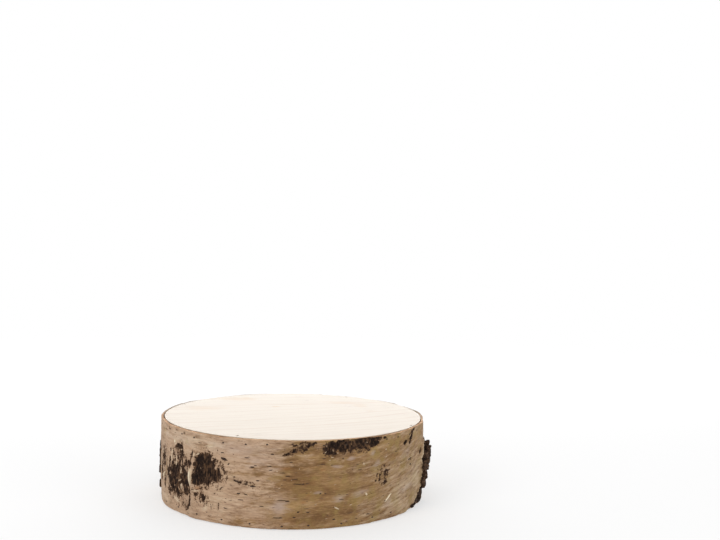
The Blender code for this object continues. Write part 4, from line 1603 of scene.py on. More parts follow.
@dataclass
class Lenticels:
    """The dark corky dashes that run along the bark: the seen ones, and a seeded scatter."""

    scatter: int = 520
    seed: int = 43
    clear_below: float = 0.3
    sunk: float = 0.5
    scatter_sunk: float = 0.4
    rises: tuple[float, ...] = (0.06, 0.24, 0.3)
    scatter_rises: tuple[float, ...] = (0.03, 0.13)
    seen: tuple[Dash, ...] = rows_of(
        Dash,
        (242.4, 67.1, 4.2, 1.3, -14), (241.6, 73.4, 2, 0.5), (244.3, 62.6, 1.6, 0.7, 50),
        (254.3, 61.9, 2.2, 0.75), (252, 70.9, 2, 0.5), (262.1, 75.9, 1.6, 0.55),
        (248, 46.4, 2.8, 0.9, -12), (252, 44.7, 2.6, 0.5, -4), (254.7, 42.5, 3.2, 0.45),
        (256.6, 48.6, 2, 0.55), (248.9, 34.3, 1.9, 0.6), (251.8, 34, 2.2, 0.6, -16),
        (249.7, 28, 3.4, 0.45), (243.4, 17.6, 2.4, 0.4, -8), (261.1, 63.6, 2.8, 0.4),
        (261.6, 59.9, 2, 0.5), (268.1, 54.3, 2.8, 0.4), (269.4, 68.2, 1.8, 0.45),
        (272.1, 46.4, 5.6, 0.35), (274.2, 46.4, 1.4, 0.6), (266.1, 29.7, 5.2, 0.35),
        (268.2, 29.3, 2, 0.7), (264.5, 12.4, 5.4, 0.4), (265.7, 12.6, 1.5, 0.6),
        (271, 12.9, 1.5, 0.6), (272.4, 18.3, 1.3, 0.7), (276.2, 17.9, 1.5, 0.6),
        (281, 36.2, 1.1, 0.7), (282.9, 36.2, 1.2, 0.5), (286.7, 9.5, 1.7, 0.6),
        (327.1, 56.8, 2, 0.8), (328.3, 50.9, 2, 0.9), (290, 70.2, 1.4, 0.5),
        (270.8, 51.2, 3.2, 0.3), (266.3, 57.4, 3.2, 0.3), (246.9, 50.3, 1.6, 0.5),
        (281.4, 65.8, 3, 0.35), (297.4, 57.5, 2.2, 0.35), (258.3, 23.2, 2.6, 0.35),
        (301.4, 10.7, 2.2, 0.4),
    )

    def build(self, bark: BarkWrap, material: bpy.types.Material) -> bpy.types.Object:
        """Make every lenticel.

        Args:
            bark: The bark that they stand on.
            material: Their finish.

        Returns:
            The piece.
        """
        draw = np.random.default_rng(self.seed)
        pieces = SurfacePieces(bark)
        for dash in self.seen:
            outline = oval(dash.wide, dash.tall, 14, draw, 0.5, dash.tilt)
            tone = 0.25 * draw.random()
            pieces.add_mound(dash.angle, dash.height, outline, self.rises, self.sunk, 0.0, tone)
        first = BarkForm.BACK_END + 1.5
        sweep = BarkForm.FRONT_END - BarkForm.BACK_END - 3.0
        for _ in range(self.scatter):
            angle = first + draw.random() * sweep
            height = SCATTER_BOTTOM + SCATTER_TALL * draw.random()
            wide = 0.7 + 2.2 * draw.random() ** 2.0
            tall = 0.2 + 0.22 * draw.random()
            tone = 0.2 + 0.8 * draw.random()
            outline = oval(wide, tall, 8, draw, 0.4, 5.0 * (draw.random() - 0.5))
            if self.is_clear(bark, angle, height):
                pieces.add_mound(
                    angle, height, outline, self.scatter_rises, self.scatter_sunk, 0.0, tone
                )
        return pieces.finish("lenticels", material)

    def is_clear(self, bark: BarkWrap, angle: float, height: float) -> bool:
        """Tell whether a spot is on whole bark, because cork has no lenticels.

        Args:
            bark: The bark.
            angle: The spot's angle.
            height: The spot's height.

        Returns:
            Whether it is clear.
        """
        column = int(np.searchsorted(bark.angles, angle).clip(0, len(bark.angles) - 1))
        row = int(np.clip(height / DRUM_HEIGHT * bark.rows, 0, bark.rows))
        return float(bark.masks["cork"][column, row]) < self.clear_below


@dataclass(frozen=True)
class Fleck:
    """A pale flake or lip on the bark: its place, half sizes, tilt, rise, lean and tone."""

    angle: float
    height: float
    wide: float
    tall: float
    tilt: float = 0.0
    rise: float = 0.4
    lean: float = 0.15
    tone: float = 0.7


@dataclass
class PaleFlecks:
    """Small pale flakes and lips of the outer film: the seen ones, and a seeded scatter."""

    scatter: int = 90
    seed: int = 57
    sunk: float = 0.4
    scatter_sunk: float = 0.3
    scatter_lean: float = 0.06
    scatter_rises: tuple[float, ...] = (0.1, 0.16)
    seen: tuple[Fleck, ...] = rows_of(
        Fleck,
        # Lip on the scar's left, and curls at the left edge.
        (225.5, 43.4, 1.2, 8.2, 3, 1.4, 0.3, 0.85), (200.4, 32, 6.6, 1.1, 36, 1.2, 0.3, 0.8),
        (205.2, 42, 1.3, 9, -2, 0.9, 0.2, 0.45), (213.6, 75, 2.2, 1.1, -20, 0.9, 0.4, 1),
        (216.8, 76, 2.2, 0.9, -50, 0.7, 0.3, 0.6), (229.6, 68, 2.6, 0.8, 30, 0.6, 0.2, 0.6),
        (236.2, 78, 3.6, 0.8, 12, 0.5, 0.2, 0.75),
        # Scratch and small flakes in front.
        (312, 23, 5.8, 0.9, 40, 0.5, 0.3, 1), (300.6, 31.4, 1, 1.5, 24, 0.4, 0.2, 0.8),
        (287.6, 20.6, 2.8, 0.7, -28, 0.4, 0.2, 0.8), (299.2, 63, 0.8, 1.2, 30, 0.3, 0.1, 0.6),
        (310.6, 74.4, 1.2, 0.8, 0, 0.3, 0.1, 0.6), (285.8, 79, 0.8, 1.2, 20, 0.5, 0.1, 0.3),
        (287.6, 76.4, 0.9, 0.7, 20, 0.5, 0.1, 0.5), (283, 84, 0.7, 1.1, 0, 0.5, 0.1, 0.25),
    )

    def build(self, bark: BarkWrap, material: bpy.types.Material) -> bpy.types.Object:
        """Make every flake on the bark.

        Args:
            bark: The bark that they stand on.
            material: Their finish.

        Returns:
            The piece.
        """
        draw = np.random.default_rng(self.seed)
        pieces = SurfacePieces(bark)
        for fleck in self.seen:
            outline = oval(fleck.wide, fleck.tall, 16, draw, 0.3, fleck.tilt)
            rises = (0.45 * fleck.rise, 0.85 * fleck.rise, fleck.rise)
            pieces.add_mound(
                fleck.angle, fleck.height, outline, rises, self.sunk, fleck.lean, fleck.tone
            )
        for _ in range(self.scatter):
            angle = BarkForm.BACK_END + 2.0 + draw.random() * 352.0
            height = SCATTER_BOTTOM + SCATTER_TALL * draw.random()
            wide, tall = 0.5 + 1.1 * draw.random(), 0.25 + 0.4 * draw.random()
            outline = oval(wide, tall, 8, draw, 0.8, 40.0 * draw.random())
            tone = 0.3 + 0.35 * draw.random()
            pieces.add_mound(
                angle, height, outline, self.scatter_rises, self.scatter_sunk, self.scatter_lean, tone
            )
        return pieces.finish("pale_flecks", material)


@dataclass(frozen=True)
class Lump:
    """A lump of torn cork: angle, distance from the axis, height, and half sizes."""

    angle: float
    distance: float
    height: float
    along: float
    out: float
    up: float


@dataclass
class CorkLumps:
    """Blocky lumps of dark cork, where the bark is torn at the seam and on the left side."""

    seed: int = 71
    subdivisions: int = 3
    seam: tuple[Lump, ...] = rows_of(
        Lump,
        (-14.6, 156, 66.6, 2, 1.8, 2.8), (-15.6, 157.4, 60, 4.4, 2.8, 4),
        (-14.4, 156.8, 54, 3.4, 2.8, 4), (-16.8, 154.6, 54.5, 4.4, 2.6, 4.6),
        (-15.4, 156.2, 47.5, 4, 2.7, 4.4), (-17.6, 154.4, 43, 4.4, 2.6, 5.4),
        (-15, 155.4, 40, 3.8, 2.6, 4.4), (-17, 153.8, 34.6, 4.6, 2.6, 5),
        (-15.2, 154, 30, 3.8, 2.5, 4.6), (-17.6, 152.8, 25.4, 4.8, 2.3, 4.8),
        (-16.4, 152.8, 20.6, 3.8, 2.2, 4.4), (-21.4, 149.2, 12, 4.4, 1.5, 3),
        (-25, 148.8, 6, 4.6, 1.4, 2.6), (-19.4, 150.2, 12, 4.6, 1.6, 5),
        (-8, 153.4, 52, 4.6, 2.4, 6), (-6.5, 152.2, 42, 4.8, 2.2, 6), (-8.5, 153, 61, 4, 2, 4),
        (0.5, 151.2, 46, 5, 2.2, 8), (3.5, 150.6, 30, 4.6, 1.8, 6), (1, 150.8, 60, 4.4, 1.8, 5),
        (5.4, 150, 52, 3.4, 1.4, 4),
    )
    left: tuple[Lump, ...] = rows_of(
        Lump,
        (187.8, 149.2, 58, 3.4, 1.2, 4.4), (188.4, 149.3, 49, 4, 1.6, 5.6),
        (187, 149.2, 40, 3.6, 1.3, 5), (188.8, 149.2, 31, 4, 1.5, 4.8),
        (188, 149, 14, 3.6, 1.2, 4.6), (150.5, 151.6, 66, 4, 2.2, 7),
        (151.5, 151.8, 48, 4.4, 2.2, 8), (149, 151.4, 82, 3.6, 1.8, 4), (163, 151, 52, 4.6, 1.9, 6),
        (164.5, 150.8, 32, 4, 1.8, 7), (157, 151, 24, 4, 1.8, 5), (208.8, 150, 40, 2, 1.2, 5),
        (211.8, 149.4, 48, 1.8, 1.2, 4.6),
    )

    def build(
        self, name: str, lumps: tuple[Lump, ...], material: bpy.types.Material
    ) -> bpy.types.Object:
        """Make one group of lumps.

        Args:
            name: The piece's name.
            lumps: Its lumps.
            material: The cork's finish.

        Returns:
            The piece.
        """
        noise = Noise(self.seed)
        shape = bmesh.new()
        for number, lump in enumerate(lumps):
            made = bmesh.ops.create_icosphere(shape, subdivisions=self.subdivisions, radius=1.0)
            turn = math.radians(lump.angle)
            outward = Vector((math.cos(turn), math.sin(turn), 0.0))
            centre = outward * lump.distance + Vector((0, 0, lump.height))
            half_sizes = (lump.out, lump.along, lump.up)
            frame = Matrix.Rotation(turn, 3, "Z")
            for vertex in made["verts"]:
                unit = vertex.co.copy()
                blocky = Vector([math.copysign(abs(part) ** 0.7, part) for part in unit])
                rough = self.roughness(noise, unit, number)
                stretched = Vector([part * half for part, half in zip(blocky, half_sizes)]) * rough
                vertex.co = (centre + frame @ stretched) * MM
        mesh = bpy.data.meshes.new(name)
        shape.to_mesh(mesh)
        shape.free()
        mesh.materials.append(material)
        mesh.shade_smooth()
        thing = bpy.data.objects.new(name, mesh)
        bpy.context.scene.collection.objects.link(thing)
        return thing

    def roughness(self, noise: Noise, unit: Vector, number: int) -> float:
        """Return how far a lump's point is pushed in or out, as a share of its radius.

        Args:
            noise: The noise.
            unit: Direction from the middle of the lump.
            number: The lump's number.

        Returns:
            The factor.
        """
        around = math.degrees(math.atan2(unit.y, unit.x)) / 30.0 + 11.0 * number
        up = 3.2 * unit.z + 5.0 * number
        coarse = float(noise.layered(np.array([around]), np.array([up]), 4, 0.7)[0])
        fine = float(noise.ridged(np.array([around * 2.1]), np.array([up * 1.3]), 3)[0])
        fade = 1.0 - 0.8 * abs(unit.z) ** 3
        return 1.0 + fade * (1.3 * (coarse - 0.5) + 0.3 * (fine - 0.6))


@dataclass(frozen=True)
class Curl:
    """A thin strip of bark that leaves the surface and curls.

    The path is a list of angle and lift above the plain bark; low and high are its edges.
    """

    path: tuple[tuple[float, float], ...]
    low: float
    high: float
    thick: float = 0.7
    ragged: float = 2.0
    taper: float = 0.25
    tone: float = 0.5


@dataclass
class LooseCurls:
    """Strips that stand off the bark: the hooked curl and chips at the back, flakes at the left."""

    rim: tuple[Curl, ...] = rows_of(
        Curl,
        # Hooked curl and chips at the back, just outside the rim as seen from the top.
        (((99, -1), (97.6, 0.8), (96.2, 3.2), (94.8, 5.6), (93.4, 6.8), (92.6, 6), (92.8, 4.8)),
         76, 89.6, 0.9, 6, 0.4, 0.1),
        (((98, -1), (96.8, 0.6), (95.9, 2.2), (95.2, 3.4)), 80, 89.2, 0.7, 4, 0.4, 0.2),
        (((89, -1), (87.6, 0.4), (86, 1.3), (84.8, 1.9)), 80, 89.2, 0.8, 4, 0.4, 0.1),
        (((83.6, -1), (82.4, 0.4), (81, 1.4)), 80, 89.2, 0.7, 4, 0.3, 0.8),
        # Torn flakes under the rim at the left and the front left.
        (((206.5, -1), (208.4, 0.2), (210.4, 0.9)), 82, 89, 0.6, 3, 0.7, 0.3),
        (((212.8, -1), (214.4, 0.3), (216, 0.8)), 84, 89.2, 0.6, 3, 0.7, 0.4),
        (((219, -1), (220.4, 0.6), (221.6, 1.4)), 83, 89.2, 0.6, 3, 0.7, 0.35),
        (((231, -1), (229.6, 0.6), (228, 2.6), (227, 4)), 82, 89, 0.8, 4, 0.7, 0.4),
        (((249.6, -1), (248.8, 0), (247.8, 0.6)), 86, 89.2, 0.6, 1, 0.5, 0.5),
    )
    seed: int = 83
    columns_per_step: int = 4
    rows: int = 26

    def build(
        self, name: str, curls: tuple[Curl, ...], bark: BarkWrap, material: bpy.types.Material
    ) -> bpy.types.Object:
        """Make one group of curls.

        Args:
            name: The piece's name.
            curls: Its curls.
            bark: The bark that they leave.
            material: Their finish.

        Returns:
            The piece.
        """
        noise = Noise(self.seed)
        points: list[tuple[float, float, float]] = []
        faces: list[tuple[int, ...]] = []
        tones: list[float] = []
        for number, curl in enumerate(curls):
            start = len(points)
            sheet, columns = self.strip(curl, bark, noise, 9.0 * number)
            points += sheet
            for face in self.shell_faces(columns, self.rows):
                faces.append(tuple(start + place for place in face))
            tones += [curl.tone] * (2 * columns * self.rows)
        piece = new_piece(name, points, faces, material)
        carry_mask(piece.data, "tone", np.array(tones))
        return piece

    def strip(self, curl: Curl, bark: BarkWrap, noise: Noise, shift: float) -> tuple[list, int]:
        """Lay out a curl with torn edges.

        Args:
            curl: The curl.
            bark: The bark that it leaves.
            noise: Noise that tears its edges.
            shift: Where in the noise it lies.

        Returns:
            Its points, outer face first and inner face after it, and its number of columns.
        """
        steps = len(curl.path) - 1
        columns = steps * self.columns_per_step + 1
        up = np.linspace(0.0, 1.0, self.rows)[None, :]
        share = np.linspace(0.0, 1.0, columns)[:, None]
        torn = 1.0 - 0.75 * noise.layered(up * 5.0 + shift, up * 0.0 + shift, 4, 0.8)
        place = share * torn * steps
        angle = self.ease([spot[0] for spot in curl.path], place)
        lift = self.ease([spot[1] for spot in curl.path], place)
        lift = lift + share * 1.4 * (noise.layered(place * 1.4, up * 5.0 + shift, 3) - 0.5)
        narrow = curl.taper * share**0.7 * 0.5 * (curl.high - curl.low)
        low_tear = noise.layered(share * 3.0 + shift, share * 0.0, 3) - 0.3
        high_tear = noise.layered(share * 3.0, share * 0.0 + shift, 3)
        low = curl.low + narrow + curl.ragged * low_tear
        high = curl.high - narrow - 0.5 * curl.ragged * share * high_tear
        height = np.minimum(low * (1.0 - up) + high * up, BarkForm.TOP)
        radius = bark.surface(np.full(height.shape, curl.path[0][0]), height) + lift
        turn = np.radians(angle)
        flat = np.stack((np.cos(turn) * radius, np.sin(turn) * radius), -1)
        ahead = np.gradient(flat, axis=0)
        ahead /= np.maximum(np.linalg.norm(ahead, axis=-1, keepdims=True), 1e-6)
        side = np.stack((-ahead[..., 1], ahead[..., 0]), -1)
        thick = 0.5 * curl.thick * (1.0 - 0.6 * share)[..., None]
        shifts = (side * thick, side * thick * -1.0)
        faces = [np.concatenate((flat + shift, height[..., None]), -1) for shift in shifts]
        return (np.concatenate(faces).reshape(-1, 3) * MM).tolist(), columns

    def ease(self, values: list[float], along: Array) -> Array:
        """Read a smooth line through values at places measured in steps.

        Args:
            values: Values at the steps.
            along: Where between the steps.

        Returns:
            The eased values.
        """
        given = np.array(values)
        before = np.clip(along.astype(int), 0, len(given) - 2)
        share = along - before
        slopes = np.gradient(given)
        start, end = given[before], given[before + 1]
        first, last = slopes[before], slopes[before + 1]
        square, cube = share**2, share**3
        return (
            (2 * cube - 3 * square + 1) * start
            + (cube - 2 * square + share) * first
            + (3 * square - 2 * cube) * end
            + (cube - square) * last
        )

    def shell_faces(self, columns: int, rows: int) -> list[tuple[int, ...]]:
        """Return the faces of a closed shell made of two grids, one behind the other.

        Args:
            columns: Points along the strip.
            rows: Points across it.

        Returns:
            The faces, as point numbers.
        """
        faces = []
        back = columns * rows
        for column in range(columns - 1):
            for row in range(rows - 1):
                here = column * rows + row
                quad = (here, here + rows, here + rows + 1, here + 1)
                faces.append(quad[::-1])
                faces.append(tuple(back + place for place in quad))
        border = [column * rows for column in range(columns)]
        border += [(columns - 1) * rows + row for row in range(1, rows)]
        border += [column * rows + rows - 1 for column in range(columns - 2, -1, -1)]
        border += [row for row in range(rows - 2, 0, -1)]
        for first, second in zip(border, border[1:] + border[:1]):
            faces.append((first, second, back + second, back + first))
        return faces


@dataclass(frozen=True)
class CorkFinish:
    """Bare dark cork, mottled from dark to light by noise, with lighter flakes."""

    dark: Colour = paint(38, 26, 19)
    middle: Colour = paint(66, 48, 37)
    light: Colour = paint(122, 96, 74)
    roughness: float = 0.93
    specular: float = 0.2
    relief: float = 0.0009

    def build(self, effects: SharedEffects) -> bpy.types.Material:
        """Make the cork's material.

        Args:
            effects: The shared groups.

        Returns:
            The material.
        """
        material, graph, shader = new_material("bare_cork")
        places = graph.object_places()
        grain = graph.noise(places, 330.0, 5.0, 0.7)
        colour = graph.ramp(grain, ((0.34, self.dark), (0.52, self.middle), (0.7, self.light)))
        flakes = graph.use(effects.blotches, Vector=places, Scale=260.0, Cover=0.3, Softness=0.05)
        colour = graph.blend(graph.times(flakes, 0.6), colour, self.light)
        graph.give(
            shader, Base_Color=colour, Roughness=self.roughness, Specular_IOR_Level=self.specular
        )
        add_bump(graph, shader, graph.noise(places, 700.0, 4.0), self.relief)
        return material


@dataclass(frozen=True)
class FlakeFinish:
    """Thin bark flakes and dashes, from dark to pale by each one's own tone."""

    name: str
    dark: Colour
    middle: Colour
    pale: Colour
    roughness: float = 0.7
    specular: float = 0.25
    relief: float = 0.0002

    def build(self, effects: SharedEffects) -> bpy.types.Material:
        """Make the material.

        Args:
            effects: The shared groups.

        Returns:
            The material, which reads the tone that each shape carries.
        """
        material, graph, shader = new_material(self.name)
        places = graph.object_places()
        streak = graph.use(effects.streaks, Vector=places, Along=300.0, Across=300.0, Contrast=1.2)
        tone = graph.sway(streak, 0.4, graph.mask("tone"))
        colour = graph.ramp(tone, ((0.05, self.dark), (0.5, self.middle), (0.95, self.pale)))
        graph.give(
            shader, Base_Color=colour, Roughness=self.roughness, Specular_IOR_Level=self.specular
        )
        add_bump(graph, shader, graph.noise(places, 900.0), self.relief)
        return material


@dataclass(frozen=True)
class FigureLine:
    """A darker line of the board's figure: its place across the grain, half width, strength."""

    place: float
    wide: float
    strength: float


@dataclass(frozen=True)
class Stain:
    """A soft stain on the board: its middle, its half sizes and how strong it is."""

    x: float
    y: float
    wide: float
    tall: float
    strength: float


@dataclass(frozen=True)
class BoardFinish:
    """Sanded birch plywood: a curving figure, fine fibres, soft stains and short dark pores."""

    name: str
    light: Colour = paint(190, 175, 154)
    middle: Colour = paint(182, 165, 143)
    line: Colour = paint(168, 134, 98)
    stain: Colour = paint(178, 144, 96)
    pore: Colour = paint(120, 84, 54)
    ply_dark: Colour = paint(128, 92, 62)
    roughness: float = 0.4
    specular: float = 0.52
    relief: float = 0.00006
    ply_pair: float = 0.0024
    half_size: float = 150.0
    most_bow: float = 10.0
    turned: bool = False
    lines: tuple[FigureLine, ...] = rows_of(
        FigureLine,
        (-136, 3, 0.35), (-114, 2.5, 0.4), (-102, 2, 0.35), (-88, 2.6, 0.4), (-76, 2.4, 0.75),
        (-56, 2.4, 0.75), (-42, 2, 0.4), (-26, 2.6, 0.8), (-4, 2.4, 0.4), (8, 2, 0.45),
        (30, 2.6, 0.6), (48, 2.2, 0.45), (64, 4.6, 0.85), (74, 2, 0.4), (84, 2, 0.45),
        (96, 2.4, 0.35), (116, 3, 0.35),
    )
    # Where the grain bends: a place across the board, the slope there and the bow.
    bends: tuple[tuple[float, float, float], ...] = (
        (-150.0, 0.32, 0.0),
        (-89.0, 0.323, 2.4),
        (-71.0, 0.329, 6.3),
        (-25.0, 0.409, 9.2),
        (25.0, 0.331, 2.9),
        (65.0, 0.159, -2.6),
        (95.0, 0.162, -6.2),
        (150.0, 0.16, -6.0),
    )
    stains: tuple[Stain, ...] = rows_of(
        Stain,
        (-70, 100, 30, 17, 0.75), (-105, 30, 26, 20, 0.5), (60, 80, 28, 11, 0.55),
        (80, 60, 11, 20, 0.4), (-22, 46, 6, 5, 0.8), (90, 23, 10, 6, 0.4),
    )
    pore_fields: tuple[Stain, ...] = rows_of(
        Stain,
        (4, 120, 12, 9, 1), (18, 94, 17, 8, 0.8), (70, 53, 15, 7, 0.9), (114, 54, 9, 8, 1),
        (89, 24, 9, 6, 0.7), (-40, -118, 30, 9, 0.5),
    )

    def build(self, effects: SharedEffects) -> bpy.types.Material:
        """Make the board's material.

        Args:
            effects: The shared groups.

        Returns:
            The material, laid out over the frame's own places.
        """
        material, graph, shader = new_material(self.name)
        places = graph.object_places()
        if self.turned:
            places = graph.vector("MULTIPLY", places, (-1.0, 1.0, 1.0))
        along, across = self.grain_places(graph, places)
        grain = graph.join(graph.times(along, MM), graph.times(across, MM))
        fibre = graph.use(effects.streaks, Vector=grain, Along=34.0, Across=900.0, Contrast=1.8)
        broad = graph.use(effects.streaks, Vector=grain, Along=9.0, Across=60.0, Contrast=2.0)
        colour = graph.blend(broad, self.middle, self.light)
        colour = graph.blend(self.figure(graph, along, across), colour, self.line)
        colour = graph.blend(self.spread(graph, effects, places, self.stains), colour, self.stain)
        colour = graph.blend(graph.span(fibre, 0.5, 1.0, 0.0, 0.22), colour, self.line)
        dashes = graph.use(effects.dashes, Vector=grain, Along=130.0, Across=700.0, Size=0.36)
        pores = graph.times(dashes, self.spread(graph, effects, places, self.pore_fields))
        sparse = graph.use(effects.dashes, Vector=grain, Along=60.0, Across=260.0, Size=0.12)
        pores = graph.math("MAXIMUM", graph.times(pores, 0.75), graph.times(sparse, 0.35))
        colour = graph.blend(pores, colour, self.pore)
        colour = graph.blend(self.plies(graph, places), colour, self.ply_dark)
        roughness = graph.times_plus(fibre, 0.06, self.roughness - 0.03)
        graph.give(shader, Base_Color=colour, Roughness=roughness, Specular_IOR_Level=self.specular)
        height = graph.math("SUBTRACT", fibre, graph.times(pores, 2.0))
        add_bump(graph, shader, height, self.relief, 0.6)
        return material

    def grain_places(self, graph: Graph, places: object) -> tuple[object, object]:
        """Return places along and across the curving grain, in millimetres.

        Args:
            graph: The material's graph.
            places: Places of the frame.

        Returns:
            Lengths along and across the grain, in millimetres.
        """
        x, y, _ = graph.split(graph.vector("MULTIPLY", places, (1000.0, 1000.0, 1000.0)))
        size, most = self.half_size, self.most_bow
        rough = graph.math("DIVIDE", graph.times_plus(x, -0.3, graph.math("ADD", y, size)), 2.0 * size)
        slopes = [((place + size) / (2.0 * size), slope) for place, slope, _ in self.bends]
        bows = [
            ((place + size) / (2.0 * size), (bow + most) / (2.0 * most)) for place, _, bow in self.bends
        ]
        slope = graph.curve(rough, slopes)
        bow = graph.times_plus(graph.curve(rough, bows), 2.0 * most * BOW_UNIT, -most * BOW_UNIT)
        across = graph.math("SUBTRACT", y, graph.times(slope, x))
        across = graph.math("SUBTRACT", across, graph.times(bow, graph.times(x, x)))
        across = graph.sway(graph.noise(places, 14.0, 2.0), 9.0, across)
        across = graph.sway(graph.noise(places, 70.0), 2.2, across)
        return graph.times_plus(y, 0.3, x), across

    def figure(self, graph: Graph, along: object, across: object) -> Socket:
        """Return how dark the figure's lines are, fading in and out along the grain.

        Args:
            graph: The material's graph.
            along: Lengths along the grain.
            across: Lengths across it.

        Returns:
            The mask.
        """
        size = self.half_size
        points = [(0.0, 0.0)]
        for line in self.lines:
            middle = (line.place + size) / (2.0 * size)
            wide = line.wide / (2.0 * size)
            points += [(middle - 1.3 * wide, 0.0), (middle, line.strength), (middle + 0.7 * wide, 0.0)]
        points.append((1.0, 0.0))
        place = graph.math("DIVIDE", graph.math("ADD", across, size), 2.0 * size)
        lines = graph.curve(place, points)
        run = graph.join(graph.times(along, 0.012), graph.times(across, 0.05))
        fade = graph.span(graph.noise(run, 1.0, 2.0), 0.3, 0.62, 0.25, 0.95)
        return graph.times(lines, fade)

    def spread(
        self, graph: Graph, effects: SharedEffects, places: object, stains: tuple[Stain, ...]
    ) -> Socket:
        """Return the strongest of several stains.

        Args:
            graph: The material's graph.
            effects: The shared groups.
            places: Places on the surface.
            stains: The stains.

        Returns:
            The mask.
        """
        total: object = 0.0
        for stain in stains:
            centre = (stain.x * MM, stain.y * MM, DRUM_HEIGHT * MM)
            size = (stain.wide * MM, stain.tall * MM, 1.0)
            mask = graph.use(effects.stain, Vector=places, Centre=centre, Size=size, Wander=1.6)
            total = graph.math("MAXIMUM", total, graph.times(mask, stain.strength))
        return total

    def plies(self, graph: Graph, places: object) -> Socket:
        """Return the darker plies, which show only on the board's edge.

        Args:
            graph: The material's graph.
            places: Places on the surface.

        Returns:
            The mask.
        """
        _, _, up = graph.split(graph.add("ShaderNodeNewGeometry").outputs["Normal"])
        edge = graph.span(graph.math("ABSOLUTE", up), 0.35, 0.75, 1.0, 0.0)
        _, _, height = graph.split(places)
        wave = graph.math("COSINE", graph.times(height, 2.0 * math.pi / self.ply_pair))
        return graph.times(graph.span(wave, -0.2, 0.4), graph.times(edge, 0.8))


@dataclass(frozen=True)
class HoopFinish:
    """Raw bent wood of the hidden wall hoop."""

    light: Colour = paint(184, 150, 112)
    dark: Colour = paint(142, 106, 72)
    roughness: float = 0.72
    relief: float = 0.00015

    def build(self, effects: SharedEffects) -> bpy.types.Material:
        """Make the hoop's material.

        Args:
            effects: The shared groups.

        Returns:
            The material.
        """
        material, graph, shader = new_material("hoop_wood_raw")
        places = graph.object_places()
        x, y, z = graph.split(places)
        round_it = graph.times(graph.math("ARCTAN2", y, x), ARC_RADIUS * MM)
        grain = graph.join(round_it, z)
        fibre = graph.use(effects.streaks, Vector=grain, Along=26.0, Across=650.0, Contrast=2.2)
        spots = graph.use(effects.blotches, Vector=places, Scale=22.0, Cover=0.35, Softness=0.1)
        colour = graph.blend(fibre, self.dark, self.light)
        colour = graph.blend(graph.times(spots, 0.35), colour, self.dark)
        graph.give(shader, Base_Color=colour, Roughness=self.roughness)
        add_bump(graph, shader, fibre, self.relief)
        return material


@dataclass(frozen=True)
class SteelFinish:
    """Dull dark steel of nails and brads, rusted in places."""

    name: str
    steel: Colour = paint(96, 90, 86)
    rust: Colour = paint(98, 58, 34)
    roughness: float = 0.48
    rust_roughness: float = 0.85
    rust_cover: float = 0.55
    relief: float = 0.00008

    def build(self, effects: SharedEffects) -> bpy.types.Material:
        """Make the steel.

        Args:
            effects: The shared groups.

        Returns:
            The material.
        """
        material, graph, shader = new_material(self.name)
        places = graph.object_places()
        rust = graph.use(
            effects.blotches, Vector=places, Scale=420.0, Cover=self.rust_cover, Softness=0.07
        )
        colour = graph.blend(rust, self.steel, self.rust)
        metal = graph.span(rust, 0.0, 1.0, 1.0, 0.0)
        roughness = graph.span(rust, 0.0, 1.0, self.roughness, self.rust_roughness)
        graph.give(shader, Base_Color=colour, Metallic=metal, Roughness=roughness)
        add_bump(graph, shader, graph.noise(places, 1500.0), self.relief)
        return material


@dataclass
class BradHeads:
    """The heads of both rows of brads, each set in the bark over a short shank."""

    plan: BradRows
    seed: int = 91
    sides: int = 12
    ragged: float = 0.12
    rise: float = 0.22
    sunk: float = 2.0
    lean: float = 0.06

    def build(self, bark: BarkWrap, material: bpy.types.Material) -> list[bpy.types.Object]:
        """Make one piece for each row.

        Args:
            bark: The bark that they are driven into.
            material: Their steel.

        Returns:
            The two rows.
        """
        rows = []
        draw = np.random.default_rng(self.seed)
        for name, brads in self.plan.rows().items():
            pieces = SurfacePieces(bark)
            for brad in brads:
                tilt = 24.0 * (draw.random() - 0.5)
                wide, tall = self.plan.head_wide, self.plan.head_tall
                outline = oval(wide, tall, self.sides, draw, self.ragged, tilt)
                rises = (0.4 * self.rise, self.rise)
                tone = draw.random()
                pieces.add_mound(brad.angle, brad.height, outline, rises, self.sunk, self.lean, tone)
            rows.append(pieces.finish(name, material))
        return rows


@dataclass
class Boards:
    """The two plywood boards, the hoop between them and the nails, which keep their solids."""

    top: str = "top_board"
    bottom: str = "bottom_board"
    hoop: str = "wall_hoop"
    nail_count: int = 4

    def dress(self, nodes: dict[str, bpy.types.Object], effects: SharedEffects) -> None:
        """Give every solid its finish.

        Args:
            nodes: The frame's solids by name.
            effects: The shared groups.
        """
        self.assign(nodes[self.top], BoardFinish("plywood_top").build(effects))
        self.assign(nodes[self.bottom], BoardFinish("plywood_bottom", turned=True).build(effects))
        self.assign(nodes[self.hoop], HoopFinish().build(effects))
        steel = SteelFinish("nail_steel_dull").build(effects)
        for side in ("top", "bottom"):
            for number in range(1, self.nail_count + 1):
                self.assign(nodes[f"{side}_nail_{number}"], steel)
        LOG.info("boards, hoop and nails dressed")

    def assign(self, thing: bpy.types.Object, material: bpy.types.Material) -> None:
        """Put a material in every slot of a solid.

        Args:
            thing: The solid.
            material: The finish.
        """
        if not thing.material_slots:
            thing.data.materials.append(material)
        for slot in thing.material_slots:
            slot.material = material


